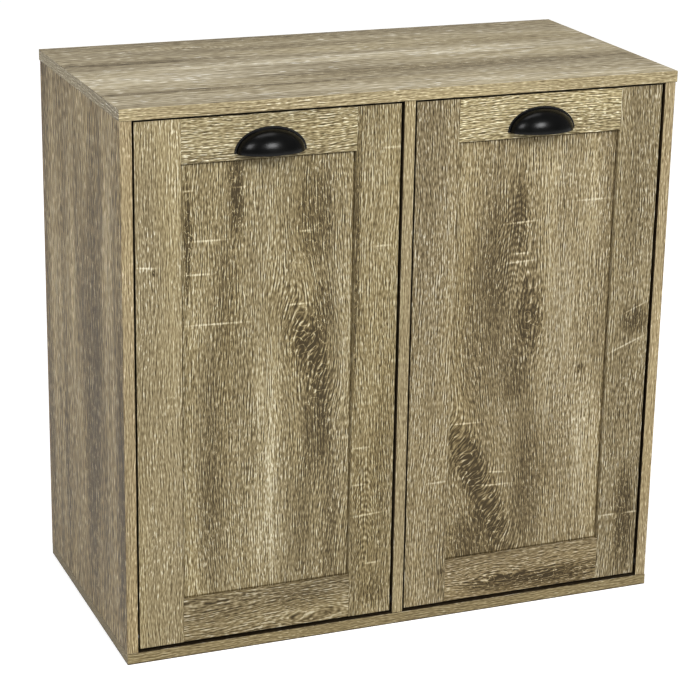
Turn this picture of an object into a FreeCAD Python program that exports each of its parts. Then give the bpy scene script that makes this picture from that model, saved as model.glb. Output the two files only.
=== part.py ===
# Two-door tilt-out laundry sorter cabinet, in millimetres.
# +X is right, +Y is back and +Z is up. The origin is on the floor, under the middle of the base.
# Both doors are alike, so each is made once about its own centre line and then set into its compartment.
import FreeCAD, Part
import math
import os

Vector = FreeCAD.Vector
X_AXIS = Vector(1, 0, 0)
Y_AXIS = Vector(0, 1, 0)
Z_AXIS = Vector(0, 0, 1)

# Fits
STATIC_FIT = 0.05          # radial room round a pin, dowel or screw that stays put
RUNNING_FIT = 0.05         # radial room round a pivot pin that turns in its bush
HOLE_END_ROOM = 0.3        # room past the tip of anything in a blind hole
SLIDING_ROOM = 0.4         # room each side of the stay blade on its stud
DRIVE_DEPTH = 1.0          # depth of the cross in a screw head
DRIVE_SLOT = 0.9           # width of each arm of that cross
DRIVE_REACH = 1.1          # length of the cross, in head radii
HEAD_ROUNDING = 0.55       # rounding of a screw head, in head heights

# Carcass boards
WIDTH = 762.0              # over the top panel
DEPTH = 381.0              # over the top panel
HEIGHT = 736.6             # floor to upper face
BOARD = 15.0               # laminated board of the carcass
ARRIS = 0.8                # rounding of board edges
SIDE_REVEAL = 1.5          # top panel past each side panel
FRONT_REVEAL = 1.5         # top and base past the front edges of the uprights
BACK_THICKNESS = 3.0       # hardboard back
BACK_SEAM = 0.4            # between the two halves of the back

# Rear rails, which take the screws that hold the cabinet to a wall
WALL_RAIL_HEIGHT = 60.0
WALL_RAIL_THICKNESS = 15.0
WALL_HOLE_RADIUS = 2.5
WALL_HOLE_SPACING = 406.4

# Dowels and cam fittings that join the boards
DOWEL_RADIUS = 4.0
DOWEL_LENGTH = 30.0
DOWEL_SETBACK = 40.0       # from the front and rear edges of an upright
PANEL_WEB = 4.0            # board left past a dowel or cam bolt
CAM_SETBACK = 80.0         # from the front and rear edges of an upright
CAM_RADIUS = 7.5
CAM_FLOOR = 2.5            # board left behind a cam
CAM_REACH = 34.0           # joint face to cam centre
CAM_CROSS_BORE = 3.9
CAM_BOLT_THREAD_RADIUS = 3.2
CAM_BOLT_SHANK_RADIUS = 2.4
CAM_BOLT_HEAD_RADIUS = 3.4
CAM_BOLT_HEAD_LENGTH = 4.0

# Nails of the back
NAIL_RADIUS = 0.8
NAIL_LENGTH = 15.0
NAIL_HEAD_RADIUS = 2.2
NAIL_HEAD_HEIGHT = 0.8
NAIL_END_SETBACK = 30.0
NAIL_PITCH = 105.0

# Doors
DOOR_THICKNESS = 15.0
DOOR_SETBACK = 2.5         # behind the front edges of the uprights
GAP_SIDE = 3.0
GAP_TOP = 3.0
GAP_BOTTOM = 4.0
STILE_WIDTH = 60.0
TOP_RAIL_HEIGHT = 57.0
BOTTOM_RAIL_HEIGHT = 60.0
PANEL_THICKNESS = 4.0
GROOVE_DEPTH = 8.0
GROOVE_ROOM = 0.1          # each side of the panel and tenons
PANEL_FLOAT = 0.5          # panel and tenons short of the groove's bottom
DOOR_ARRIS = 0.8

# Pivots
MAX_TILT = 30.0            # degrees
PIVOT_UP = 15.0            # above the door's lower edge
PIN_RADIUS = 3.0
PIN_IN_DOOR = 25.0
BUSH_RADIUS = 5.0
BUSH_FLANGE_RADIUS = 7.0
BUSH_FLANGE = 1.0
PIVOT_WEB = 1.0            # half of the divider that stays whole between two blind holes
PIN_TIP_ROOM = 0.5

# Slotted quadrant stays, which stop the doors at full tilt
STAY_RADIUS = 170.0        # pivot to middle of the slot
STAY_BLADE_WIDTH = 16.0
STAY_THICKNESS = 1.5
STAY_INSET = 5.0           # blade from the door's edge
STAY_FOOT_WIDTH = 16.0
STAY_FOOT_HEIGHT = 46.0
STAY_SCREW_SPACING = 30.0
STAY_TIP = 8.0             # blade past each end of the slot
STUD_CLEAR = 11.0          # stud axis behind the stay's foot
STUD_RADIUS = 2.5
STUD_COLLAR_RADIUS = 4.5
STUD_HEAD_RADIUS = 5.0
STUD_HEAD = 2.0
STUD_THREAD_RADIUS = 2.0
SLOT_ROOM = 0.3            # round the stud in the slot

# Cup pulls
PULL_WIDTH = 95.0
PULL_HEIGHT = 32.0
PULL_DEPTH = 26.0
PULL_WALL = 1.8
PULL_FLANGE = 2.5
PULL_FLANGE_THICKNESS = 1.6
PULL_RISE = 8.4            # lip above the lower edge of the top rail
PULL_SCREW_SPACING = 64.0
PULL_SCREW_UP = 10.0       # screws above the lip
PULL_POST_RADIUS = 3.6
PULL_SCREW_RADIUS = 2.0
PULL_SCREW_GRIP = 7.0      # thread in the post
PULL_SCREW_HEAD_RADIUS = 4.0
PULL_SCREW_HEAD = 2.4

# Magnetic catches
STRIKE_WIDTH = 52.0
STRIKE_HEIGHT = 10.0
STRIKE_THICKNESS = 1.0
STRIKE_DROP = 2.0          # below the door's upper edge
STRIKE_SCREW_SPACING = 40.0
MAGNET_GAP = 0.3           # pole to strike at rest
CATCH_WIDTH = 26.0
CATCH_DEPTH = 14.0
CATCH_WALL = 1.5           # below the poles
CATCH_EAR = 11.0
CATCH_EAR_THICKNESS = 3.0
POLE_WIDTH = 20.0
POLE_LENGTH = 12.0
POLE_THICKNESS = 1.2
POLE_PROUD = 0.5
MAGNET_THICKNESS = 5.0
POCKET_ROOM = 0.1

# Small wood screws
SCREW_RADIUS = 1.6
SCREW_LENGTH = 10.0
SCREW_HEAD_RADIUS = 3.2
SCREW_HEAD = 1.8

# Wire frames that carry the bags
ARM_INSET = 20.5           # middle of each arm from the door's edge
ARM_RADIUS = 3.0
FRAME_DROP = 118.6         # middle of the wire below the door's upper edge
FRONT_WIRE_BACK = 21.5     # front cross wire behind the door
REAR_WIRE_ROOM = 37.5      # rear run in front of the back
FRAME_CORNER = 30.0
BRACE_RADIUS = 2.5
BRACE_BACK = 210.0         # foot of the slope on the arm, behind the door
BRACE_DROP = 160.0         # brace foot below the arm
PAD_WIDTH = 16.0
PAD_THICKNESS = 2.0
ARM_PAD_HEIGHT = 34.0
ARM_SCREW_SPACING = 22.0
BRACE_PAD_HEIGHT = 30.0
BRACE_SCREW_DROP = 8.0     # screw below the middle of the brace pad

# Laundry bags
FABRIC = 1.5
HEM_ROOM = 0.3             # between the wire and the hem folded over it
HEM_DROP = 28.0            # hem below the middle of the wire
BAG_CLEAR = 47.0           # underside of the bag above the base
BAG_SHOULDER = 40.0        # below the wire, where the walls start to slope
BAG_SIDE_TAPER = 6.0       # each side, mouth to bottom
BAG_FRONT_TAPER = 6.0
BAG_REAR_TAPER = 14.0
BAG_FRONT_CORNER = 8.0
BAG_BOTTOM_CORNER = 40.0
ARM_NOTCH = 1.2            # hem short of the arms at the front corners

# Places that follow from the sizes above
TOP_UNDER = HEIGHT - BOARD
SIDE_OUT = WIDTH / 2 - SIDE_REVEAL
SIDE_IN = SIDE_OUT - BOARD
UPRIGHT_FRONT = -DEPTH / 2 + FRONT_REVEAL
UPRIGHT_REAR = DEPTH / 2 - BACK_THICKNESS
OPENING = SIDE_IN - BOARD / 2
COMPARTMENT = (SIDE_IN + BOARD / 2) / 2
DOOR_WIDTH = OPENING - 2 * GAP_SIDE
DOOR_FRONT = UPRIGHT_FRONT + DOOR_SETBACK
DOOR_BACK = DOOR_FRONT + DOOR_THICKNESS
DOOR_MIDDLE = DOOR_FRONT + DOOR_THICKNESS / 2
DOOR_BOTTOM = BOARD + GAP_BOTTOM
DOOR_TOP = TOP_UNDER - GAP_TOP
RAIL_HALF = DOOR_WIDTH / 2 - STILE_WIDTH
PANEL_LOW = DOOR_BOTTOM + BOTTOM_RAIL_HEIGHT
PANEL_HIGH = DOOR_TOP - TOP_RAIL_HEIGHT
TENON = GROOVE_DEPTH - PANEL_FLOAT
PIVOT_Z = DOOR_BOTTOM + PIVOT_UP
BLIND_DEPTH = BOARD / 2 - PIVOT_WEB
BLADE_OUT = DOOR_WIDTH / 2 - STAY_INSET
BLADE_IN = BLADE_OUT - STAY_THICKNESS
STUD_ANGLE = math.asin((DOOR_THICKNESS / 2 + STAY_THICKNESS + STUD_CLEAR) / STAY_RADIUS)
ARM_X = DOOR_WIDTH / 2 - ARM_INSET
FRAME_HEIGHT = DOOR_TOP - FRAME_DROP
FRONT_WIRE_Y = DOOR_BACK + FRONT_WIRE_BACK
REAR_WIRE_Y = UPRIGHT_REAR - REAR_WIRE_ROOM
BAG_BOTTOM = BOARD + BAG_CLEAR
SCREW_HOLE = SCREW_RADIUS + STATIC_FIT
SCREW_HOLE_DEPTH = SCREW_LENGTH + HOLE_END_ROOM
PULL_LIP = PANEL_HIGH + PULL_RISE
STRIKE_Z = DOOR_TOP - STRIKE_DROP - STRIKE_HEIGHT / 2
WALL_HOLE_Z = TOP_UNDER - WALL_RAIL_HEIGHT / 2


# Shapes that the pieces are cut from

def block(x0, x1, y0, y1, z0, z1):
    return Part.makeBox(x1 - x0, y1 - y0, z1 - z0, Vector(x0, y0, z0))


def rounded(solid, radius, axis=None):
    """Rounds every edge, or only those that run along the given axis."""
    edges = solid.Edges
    if axis is not None:
        edges = [e for e in edges if abs(e.tangentAt(e.FirstParameter).dot(axis)) > 0.99]
    return solid.makeFillet(radius, edges)


def rod(start, direction, radius, length):
    return Part.makeCylinder(radius, length, start, direction)


def aimed(solid, point, direction):
    """Turns a solid made along +Z from the origin to run from a point in a direction."""
    placed = solid.copy()
    placed.Placement = FreeCAD.Placement(point, FreeCAD.Rotation(Z_AXIS, direction))
    return placed


def mirrored_x(solid):
    return solid.mirror(Vector(0, 0, 0), X_AXIS)


def shifted(solid, x):
    return solid.translated(Vector(x, 0, 0))


def flat_face(points_and_arcs):
    """Makes a face from a closed run of (start, end) lines and (start, middle, end) arcs."""
    edges = []
    for run in points_and_arcs:
        edges.append(Part.makeLine(*run) if len(run) == 2 else Part.Arc(*run).toShape())
    return Part.Face(Part.Wire(edges))


def cross_recess(head_radius):
    """The cross cut that a screwdriver turns, opening at z = 0 and running up into the head."""
    arm = head_radius * DRIVE_REACH
    bars = [block(-arm / 2, arm / 2, -DRIVE_SLOT / 2, DRIVE_SLOT / 2, 0, DRIVE_DEPTH)]
    bars.append(block(-DRIVE_SLOT / 2, DRIVE_SLOT / 2, -arm / 2, arm / 2, 0, DRIVE_DEPTH))
    return bars[0].fuse(bars[1])


def pan_screw(shank_radius, length, head_radius, head_height):
    """A pan-head screw whose head sits below z = 0 and whose shank runs up from there."""
    head = rod(Vector(0, 0, -head_height), Z_AXIS, head_radius, head_height)
    outer = [e for e in head.Edges if e.BoundBox.ZMax < -head_height / 2]
    head = head.makeFillet(head_height * HEAD_ROUNDING, outer)
    head = head.cut(cross_recess(head_radius).translated(Vector(0, 0, -head_height)))
    return head.fuse(rod(Vector(0, 0, 0), Z_AXIS, shank_radius, length)).removeSplitter()


def small_screws(points, direction):
    screw = pan_screw(SCREW_RADIUS, SCREW_LENGTH, SCREW_HEAD_RADIUS, SCREW_HEAD)
    return [aimed(screw, p, direction) for p in points]


def screw_holes(points, direction, depth):
    return [rod(p, direction, SCREW_HOLE, depth) for p in points]


# Carcass

def upright_places():
    """Middle and the way that the cams face, for the left side, the divider and the right side."""
    side = SIDE_OUT - BOARD / 2
    return {"left_side_panel": (-side, 1), "centre_divider": (0, 1), "right_side_panel": (side, -1)}


def joint_rows(setback):
    return (UPRIGHT_FRONT + setback, UPRIGHT_REAR - setback)


def joint_faces():
    """Height of each joint face and the way from the upright into the panel."""
    return ((TOP_UNDER, 1), (BOARD, -1))


def dowel(x, y, face, way):
    in_panel = BOARD - PANEL_WEB
    start = Vector(x, y, face + way * (in_panel - HOLE_END_ROOM))
    return rod(start, Vector(0, 0, -way), DOWEL_RADIUS, DOWEL_LENGTH)


def dowel_hole(x, y, face, way):
    in_panel = BOARD - PANEL_WEB
    start = Vector(x, y, face + way * in_panel)
    return rod(start, Vector(0, 0, -way), DOWEL_RADIUS + STATIC_FIT, DOWEL_LENGTH + 2 * HOLE_END_ROOM)


def cam_bolt(x, y, face, way):
    """Threaded into the panel, with its head inside the cam."""
    thread = BOARD - PANEL_WEB - HOLE_END_ROOM
    into = Vector(0, 0, -way)
    bolt = rod(Vector(x, y, face + way * thread), into, CAM_BOLT_THREAD_RADIUS, thread)
    bolt = bolt.fuse(rod(Vector(x, y, face), into, CAM_BOLT_SHANK_RADIUS, CAM_REACH))
    head_start = CAM_REACH - CAM_BOLT_HEAD_LENGTH / 2
    head = rod(Vector(x, y, face - way * head_start), into, CAM_BOLT_HEAD_RADIUS, CAM_BOLT_HEAD_LENGTH)
    return bolt.fuse(head)


def cam_bolt_holes(x, y, face, way):
    into = Vector(0, 0, -way)
    thread = BOARD - PANEL_WEB
    in_panel = rod(Vector(x, y, face + way * thread), into, CAM_BOLT_THREAD_RADIUS + STATIC_FIT, thread)
    in_upright = rod(Vector(x, y, face), into, CAM_CROSS_BORE, CAM_REACH)
    return [in_panel, in_upright]


def cam_nut(x, y, face, way, faces):
    """A drum let into the upright, bored across for the bolt and crossed for a screwdriver."""
    length = BOARD - CAM_FLOOR - HOLE_END_ROOM
    z = face - way * CAM_REACH
    open_face = Vector(x + faces * BOARD / 2, y, z)
    drum = rod(open_face, Vector(-faces, 0, 0), CAM_RADIUS, length)
    drum = drum.cut(rod(Vector(x, y, z - CAM_RADIUS), Z_AXIS, CAM_CROSS_BORE, 2 * CAM_RADIUS))
    return drum.cut(aimed(cross_recess(CAM_RADIUS), open_face, Vector(-faces, 0, 0)))


def cam_hole(x, y, face, way, faces):
    z = face - way * CAM_REACH
    start = Vector(x + faces * BOARD / 2, y, z)
    return rod(start, Vector(-faces, 0, 0), CAM_RADIUS + STATIC_FIT, BOARD - CAM_FLOOR)


def wall_rail_dowels():
    """Level dowels at both ends of both rear rails, with the holes that they sit in."""
    y = UPRIGHT_REAR - WALL_RAIL_THICKNESS / 2
    dowels, holes = [], []
    for compartment in (-COMPARTMENT, COMPARTMENT):
        for side in (-1, 1):
            tip = compartment + side * (OPENING / 2 + BLIND_DEPTH - HOLE_END_ROOM)
            end = compartment + side * (OPENING / 2 + BLIND_DEPTH)
            back = Vector(-side, 0, 0)
            dowels.append(rod(Vector(tip, y, WALL_HOLE_Z), back, DOWEL_RADIUS, DOWEL_LENGTH))
            length = DOWEL_LENGTH + 2 * HOLE_END_ROOM
            holes.append(rod(Vector(end, y, WALL_HOLE_Z), back, DOWEL_RADIUS + STATIC_FIT, length))
    return dowels, holes


def wall_holes():
    length = WALL_RAIL_THICKNESS + BACK_THICKNESS
    y = UPRIGHT_REAR - WALL_RAIL_THICKNESS
    xs = (-WALL_HOLE_SPACING / 2, WALL_HOLE_SPACING / 2)
    return [rod(Vector(x, y, WALL_HOLE_Z), Y_AXIS, WALL_HOLE_RADIUS, length) for x in xs]


def nail_points():
    """Nails into the rear edges of the sides, of the divider and of the rear rails."""
    low = BOARD + NAIL_END_SETBACK
    high = TOP_UNDER - WALL_RAIL_HEIGHT - NAIL_END_SETBACK
    rows = int((high - low) / NAIL_PITCH) + 1
    points = []
    for side in (-1, 1):
        for x in (side * (SIDE_OUT - BOARD / 2), side * BOARD / 4):
            points += [(x, low + i * (high - low) / (rows - 1)) for i in range(rows)]
        for share in (-1, 1):
            dowel_end = OPENING / 2 + BLIND_DEPTH - DOWEL_LENGTH
            x = side * COMPARTMENT + share * (dowel_end - NAIL_END_SETBACK)
            points.append((x, WALL_HOLE_Z))
    return [Vector(x, DEPTH / 2, z) for x, z in points]


def nail():
    """A flat-headed nail sunk flush: its head takes the first part of its length."""
    head = rod(Vector(0, 0, 0), Z_AXIS, NAIL_HEAD_RADIUS, NAIL_HEAD_HEIGHT)
    return head.fuse(rod(Vector(0, 0, 0), Z_AXIS, NAIL_RADIUS, NAIL_LENGTH))


def nail_hole():
    head = rod(Vector(0, 0, 0), Z_AXIS, NAIL_HEAD_RADIUS + STATIC_FIT, NAIL_HEAD_HEIGHT)
    return head.fuse(rod(Vector(0, 0, 0), Z_AXIS, NAIL_RADIUS + STATIC_FIT, NAIL_LENGTH + HOLE_END_ROOM))


def stud_point(side):
    """Where a stud's axis meets the upright, in a compartment's own frame."""
    y = DOOR_MIDDLE + STAY_RADIUS * math.sin(STUD_ANGLE)
    z = PIVOT_Z + STAY_RADIUS * math.cos(STUD_ANGLE)
    return Vector(side * OPENING / 2, y, z)


def pivot_point(side):
    return Vector(side * OPENING / 2, DOOR_MIDDLE, PIVOT_Z)


def pivot_bush(side):
    """A flanged nylon bush let into the upright."""
    point = pivot_point(side)
    outward = Vector(side, 0, 0)
    bush = rod(point, outward, BUSH_RADIUS, BLIND_DEPTH - HOLE_END_ROOM)
    bush = bush.fuse(rod(point - outward * BUSH_FLANGE, outward, BUSH_FLANGE_RADIUS, BUSH_FLANGE))
    bore = rod(point - outward * BUSH_FLANGE, outward, PIN_RADIUS + RUNNING_FIT, BUSH_FLANGE + BLIND_DEPTH)
    return bush.cut(bore)


def stay_stud(side):
    """A shouldered screw: thread in the upright, collar, neck in the stay's slot, and head."""
    point = stud_point(side)
    outward = Vector(side, 0, 0)
    collar = OPENING / 2 - BLADE_OUT - SLIDING_ROOM
    neck = STAY_THICKNESS + 2 * SLIDING_ROOM
    inner = point - outward * collar
    stud = rod(inner, outward, STUD_COLLAR_RADIUS, collar)
    stud = stud.fuse(rod(point, outward, STUD_THREAD_RADIUS, BLIND_DEPTH - HOLE_END_ROOM))
    stud = stud.fuse(rod(inner - outward * neck, outward, STUD_RADIUS, neck))
    head_face = inner - outward * (neck + STUD_HEAD)
    head = rod(head_face, outward, STUD_HEAD_RADIUS, STUD_HEAD)
    return stud.fuse(head.cut(aimed(cross_recess(STUD_HEAD_RADIUS), head_face, outward)))


def compartment_holes(side):
    bush = rod(pivot_point(side), Vector(side, 0, 0), BUSH_RADIUS + STATIC_FIT, BLIND_DEPTH)
    stud = rod(stud_point(side), Vector(side, 0, 0), STUD_THREAD_RADIUS + STATIC_FIT, BLIND_DEPTH)
    return [bush, stud]


def catch_front():
    return DOOR_BACK + STRIKE_THICKNESS + MAGNET_GAP + POLE_PROUD


def catch_screw_points():
    x = CATCH_WIDTH / 2 + CATCH_EAR / 2
    y = catch_front() + CATCH_DEPTH / 2
    return [Vector(s * x, y, TOP_UNDER - CATCH_EAR_THICKNESS) for s in (-1, 1)]


def pole_heights():
    """Lower and upper pole, either side of the magnet, level with the strike."""
    step = (MAGNET_THICKNESS + POLE_THICKNESS) / 2
    return (STRIKE_Z - step, STRIKE_Z + step)


def catch_body():
    front = catch_front()
    half = CATCH_WIDTH / 2
    tall = MAGNET_THICKNESS / 2 + POLE_THICKNESS + POCKET_ROOM
    body = block(-half, half, front, front + CATCH_DEPTH, STRIKE_Z - tall - CATCH_WALL, TOP_UNDER)
    body = rounded(body, ARRIS, Z_AXIS)
    reach = half + CATCH_EAR
    ears = block(-reach, reach, front, front + CATCH_DEPTH, TOP_UNDER - CATCH_EAR_THICKNESS, TOP_UNDER)
    body = body.fuse(rounded(ears, ARRIS, Z_AXIS)).removeSplitter()
    pocket_half = POLE_WIDTH / 2 + POCKET_ROOM
    depth = POLE_LENGTH - POLE_PROUD + POCKET_ROOM
    pocket = block(-pocket_half, pocket_half, front, front + depth, STRIKE_Z - tall, STRIKE_Z + tall)
    holes = screw_holes(catch_screw_points(), Z_AXIS, CATCH_EAR_THICKNESS)
    return body.cut([pocket] + holes)


def catch_poles():
    front = catch_front() - POLE_PROUD
    half = POLE_WIDTH / 2
    thick = POLE_THICKNESS / 2
    return [block(-half, half, front, front + POLE_LENGTH, z - thick, z + thick) for z in pole_heights()]


def catch_magnet():
    front = catch_front()
    half = POLE_WIDTH / 2
    thick = MAGNET_THICKNESS / 2
    depth = POLE_LENGTH - POLE_PROUD
    return block(-half, half, front, front + depth, STRIKE_Z - thick, STRIKE_Z + thick)


def carcass_boards():
    """The undrilled boards, by node name."""
    top = block(-WIDTH / 2, WIDTH / 2, -DEPTH / 2, DEPTH / 2, TOP_UNDER, HEIGHT)
    base = block(-SIDE_OUT, SIDE_OUT, -DEPTH / 2, DEPTH / 2, 0, BOARD)
    boards = {"top_panel": rounded(top, ARRIS), "base_panel": rounded(base, ARRIS)}
    for name, place in upright_places().items():
        x = place[0]
        upright = block(x - BOARD / 2, x + BOARD / 2, UPRIGHT_FRONT, UPRIGHT_REAR, BOARD, TOP_UNDER)
        boards[name] = rounded(upright, ARRIS)
    for side, hand in ((-1, "left"), (1, "right")):
        seam, edge = sorted((side * BACK_SEAM / 2, side * SIDE_OUT))
        boards[hand + "_back_panel"] = block(seam, edge, UPRIGHT_REAR, DEPTH / 2, BOARD, TOP_UNDER)
        start, end = sorted((side * BOARD / 2, side * SIDE_IN))
        rail_front = UPRIGHT_REAR - WALL_RAIL_THICKNESS
        rail = block(start, end, rail_front, UPRIGHT_REAR, TOP_UNDER - WALL_RAIL_HEIGHT, TOP_UNDER)
        boards[hand + "_wall_rail"] = rounded(rail, ARRIS, X_AXIS)
    return boards


def board_joints():
    """Dowels, bolts and cams by node name, and the holes that they need."""
    dowels, holes = wall_rail_dowels()
    bolts, cams = [], []
    for x, faces in upright_places().values():
        for face, way in joint_faces():
            for y in joint_rows(DOWEL_SETBACK):
                dowels.append(dowel(x, y, face, way))
                holes.append(dowel_hole(x, y, face, way))
            for y in joint_rows(CAM_SETBACK):
                bolts.append(cam_bolt(x, y, face, way))
                cams.append(cam_nut(x, y, face, way, faces))
                holes += cam_bolt_holes(x, y, face, way)
                holes.append(cam_hole(x, y, face, way, faces))
    return {"wood_dowels": dowels, "cam_bolts": bolts, "cam_nuts": cams}, holes


def back_fixings():
    """The nails of the back, with their holes and the holes for wall screws."""
    forward = Vector(0, -1, 0)
    points = nail_points()
    nails = [aimed(nail(), p, forward) for p in points]
    holes = [aimed(nail_hole(), p, forward) for p in points]
    return {"back_nails": nails}, holes + wall_holes()


def compartment_hardware():
    """Bushes, studs and catches of both compartments by node name, and the holes that they need."""
    names = ("pivot_bushes", "stay_studs", "catch_bodies", "catch_poles", "catch_magnets", "catch_screws")
    nodes = {name: [] for name in names}
    holes = []
    for place in (-COMPARTMENT, COMPARTMENT):
        made = {"pivot_bushes": [pivot_bush(side) for side in (-1, 1)]}
        made["stay_studs"] = [stay_stud(side) for side in (-1, 1)]
        made["catch_bodies"] = [catch_body()]
        made["catch_poles"] = catch_poles()
        made["catch_magnets"] = [catch_magnet()]
        made["catch_screws"] = small_screws(catch_screw_points(), Z_AXIS)
        for name, solids in made.items():
            nodes[name] += [shifted(solid, place) for solid in solids]
        drilled = screw_holes(catch_screw_points(), Z_AXIS, SCREW_HOLE_DEPTH)
        for side in (-1, 1):
            drilled += compartment_holes(side)
        holes += [shifted(hole, place) for hole in drilled]
    return nodes, holes


def carcass():
    """Every fixed piece, by node name."""
    joints, joint_holes = board_joints()
    fixings, fixing_holes = back_fixings()
    hardware, hardware_holes = compartment_hardware()
    holes = joint_holes + fixing_holes + hardware_holes
    nodes = {name: [drill(board, holes)] for name, board in carcass_boards().items()}
    for group in (joints, fixings, hardware):
        nodes.update(group)
    return nodes


def drill(panel, holes):
    """Cuts the holes that reach into a panel, and leaves the others out."""
    near = [hole for hole in holes if hole.BoundBox.intersect(panel.BoundBox)]
    return panel.cut(near) if near else panel


# One door, about its own centre line

def door_stile(side):
    inner, outer = sorted((side * RAIL_HALF, side * DOOR_WIDTH / 2))
    stile = block(inner, outer, DOOR_FRONT, DOOR_BACK, DOOR_BOTTOM, DOOR_TOP)
    stile = rounded(stile, DOOR_ARRIS, Z_AXIS)
    half = PANEL_THICKNESS / 2 + GROOVE_ROOM
    start, end = sorted((side * RAIL_HALF, side * (RAIL_HALF + GROOVE_DEPTH)))
    groove = block(start, end, DOOR_MIDDLE - half, DOOR_MIDDLE + half, DOOR_BOTTOM, DOOR_TOP)
    pin_start = Vector(side * DOOR_WIDTH / 2, DOOR_MIDDLE, PIVOT_Z)
    pin_hole = rod(pin_start, Vector(-side, 0, 0), PIN_RADIUS + STATIC_FIT, PIN_IN_DOOR + HOLE_END_ROOM)
    points = stay_screw_points(side) + frame_screw_points(side)
    seats = [Vector(p.x, DOOR_BACK, p.z) for p in points]
    return stile.cut([groove, pin_hole] + screw_holes(seats, Vector(0, -1, 0), SCREW_HOLE_DEPTH))


def door_rail(low, high, groove_low, groove_high):
    """A rail with a stub tenon at each end, grooved along the edge that holds the panel."""
    rail = block(-RAIL_HALF, RAIL_HALF, DOOR_FRONT, DOOR_BACK, low, high)
    rail = rounded(rail, DOOR_ARRIS, X_AXIS)
    reach = RAIL_HALF + TENON
    half = PANEL_THICKNESS / 2
    rail = rail.fuse(block(-reach, reach, DOOR_MIDDLE - half, DOOR_MIDDLE + half, low, high))
    wide = half + GROOVE_ROOM
    return rail.cut(block(-reach, reach, DOOR_MIDDLE - wide, DOOR_MIDDLE + wide, groove_low, groove_high))


def top_rail():
    rail = door_rail(PANEL_HIGH, DOOR_TOP, PANEL_HIGH, PANEL_HIGH + GROOVE_DEPTH)
    radius = PULL_SCREW_RADIUS + STATIC_FIT
    holes = [rod(p, Vector(0, -1, 0), radius, DOOR_THICKNESS) for p in pull_screw_points()]
    seats = [Vector(p.x, DOOR_BACK, p.z) for p in strike_screw_points()]
    return rail.cut(holes + screw_holes(seats, Vector(0, -1, 0), SCREW_HOLE_DEPTH))


def bottom_rail():
    return door_rail(DOOR_BOTTOM, PANEL_LOW, PANEL_LOW - GROOVE_DEPTH, PANEL_LOW)


def door_panel():
    reach = RAIL_HALF + TENON
    half = PANEL_THICKNESS / 2
    return block(-reach, reach, DOOR_MIDDLE - half, DOOR_MIDDLE + half, PANEL_LOW - TENON, PANEL_HIGH + TENON)


def pivot_pin(side):
    start = Vector(side * (DOOR_WIDTH / 2 - PIN_IN_DOOR), DOOR_MIDDLE, PIVOT_Z)
    length = PIN_IN_DOOR + GAP_SIDE + BLIND_DEPTH - HOLE_END_ROOM - PIN_TIP_ROOM
    return rod(start, Vector(side, 0, 0), PIN_RADIUS, length)


def quadrant_point(radius, angle):
    """A point on the blade's plane, at an angle behind the vertical through the pivot."""
    return Vector(0, DOOR_MIDDLE + radius * math.sin(angle), PIVOT_Z + radius * math.cos(angle))


def arc_strip(inner, outer, start, end, round_ends):
    """A curved strip about the pivot, with round or square ends."""
    middle = (start + end) / 2
    far = (quadrant_point(outer, start), quadrant_point(outer, middle), quadrant_point(outer, end))
    near = (quadrant_point(inner, end), quadrant_point(inner, middle), quadrant_point(inner, start))
    first, last = [near[2], far[0]], [far[2], near[0]]
    if round_ends:
        centre = (inner + outer) / 2
        bulge = (outer - inner) / 2 / centre
        first.insert(1, quadrant_point(centre, start - bulge))
        last.insert(1, quadrant_point(centre, end + bulge))
    return flat_face([far, tuple(last), near, tuple(first)])


def stay(side):
    """A slotted quadrant, concentric with the pivots, on a foot screwed to the stile."""
    slot = STUD_RADIUS + SLOT_ROOM
    end = STUD_ANGLE + math.radians(MAX_TILT)
    tip = end + (STAY_TIP + STUD_RADIUS) / STAY_RADIUS
    half = STAY_BLADE_WIDTH / 2
    blade = arc_strip(STAY_RADIUS - half, STAY_RADIUS + half, 0, tip, False)
    hole = arc_strip(STAY_RADIUS - slot, STAY_RADIUS + slot, STUD_ANGLE, end, True)
    blade = blade.extrude(X_AXIS * STAY_THICKNESS).cut(hole.extrude(X_AXIS * STAY_THICKNESS))
    in_door = PIVOT_Z + STAY_RADIUS + STAY_BLADE_WIDTH
    blade = blade.cut(block(0, STAY_THICKNESS, DOOR_FRONT, DOOR_BACK, PIVOT_Z, in_door))
    z = PIVOT_Z + STAY_RADIUS
    low, high = z - STAY_FOOT_HEIGHT / 2, z + STAY_FOOT_HEIGHT / 2
    foot_start = STAY_THICKNESS - STAY_FOOT_WIDTH
    foot = block(foot_start, STAY_THICKNESS, DOOR_BACK, DOOR_BACK + STAY_THICKNESS, low, high)
    bent = shifted(blade.fuse(foot), BLADE_IN).removeSplitter()
    bent = bent.cut(screw_holes(stay_screw_points(1), Vector(0, -1, 0), STAY_THICKNESS))
    return bent if side > 0 else mirrored_x(bent)


def stay_screw_points(side):
    x = BLADE_OUT - (STAY_FOOT_WIDTH + STAY_THICKNESS) / 2
    z = PIVOT_Z + STAY_RADIUS
    zs = (z - STAY_SCREW_SPACING / 2, z + STAY_SCREW_SPACING / 2)
    return [Vector(side * x, DOOR_BACK + STAY_THICKNESS, h) for h in zs]


def quarter_dome(half_width, height, depth, turn):
    """An ellipsoid swept from upright round to the front, or all the way round for a cutter."""
    arc = Part.Arc(Vector(-half_width, 0, 0), Vector(0, 0, half_width), Vector(half_width, 0, 0))
    half_disc = Part.Face(Part.Wire([arc.toShape(), Part.makeLine(arc.EndPoint, arc.StartPoint)]))
    dome = half_disc.revolve(Vector(0, 0, 0), X_AXIS, turn)
    squeeze = FreeCAD.Matrix()
    squeeze.scale(1, depth / half_width, height / half_width)
    return dome.transformGeometry(squeeze)


def pull_screw_points():
    """Heads on the back of the top rail."""
    x = PULL_SCREW_SPACING / 2
    return [Vector(s * x, DOOR_BACK, PULL_LIP + PULL_SCREW_UP) for s in (-1, 1)]


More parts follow.
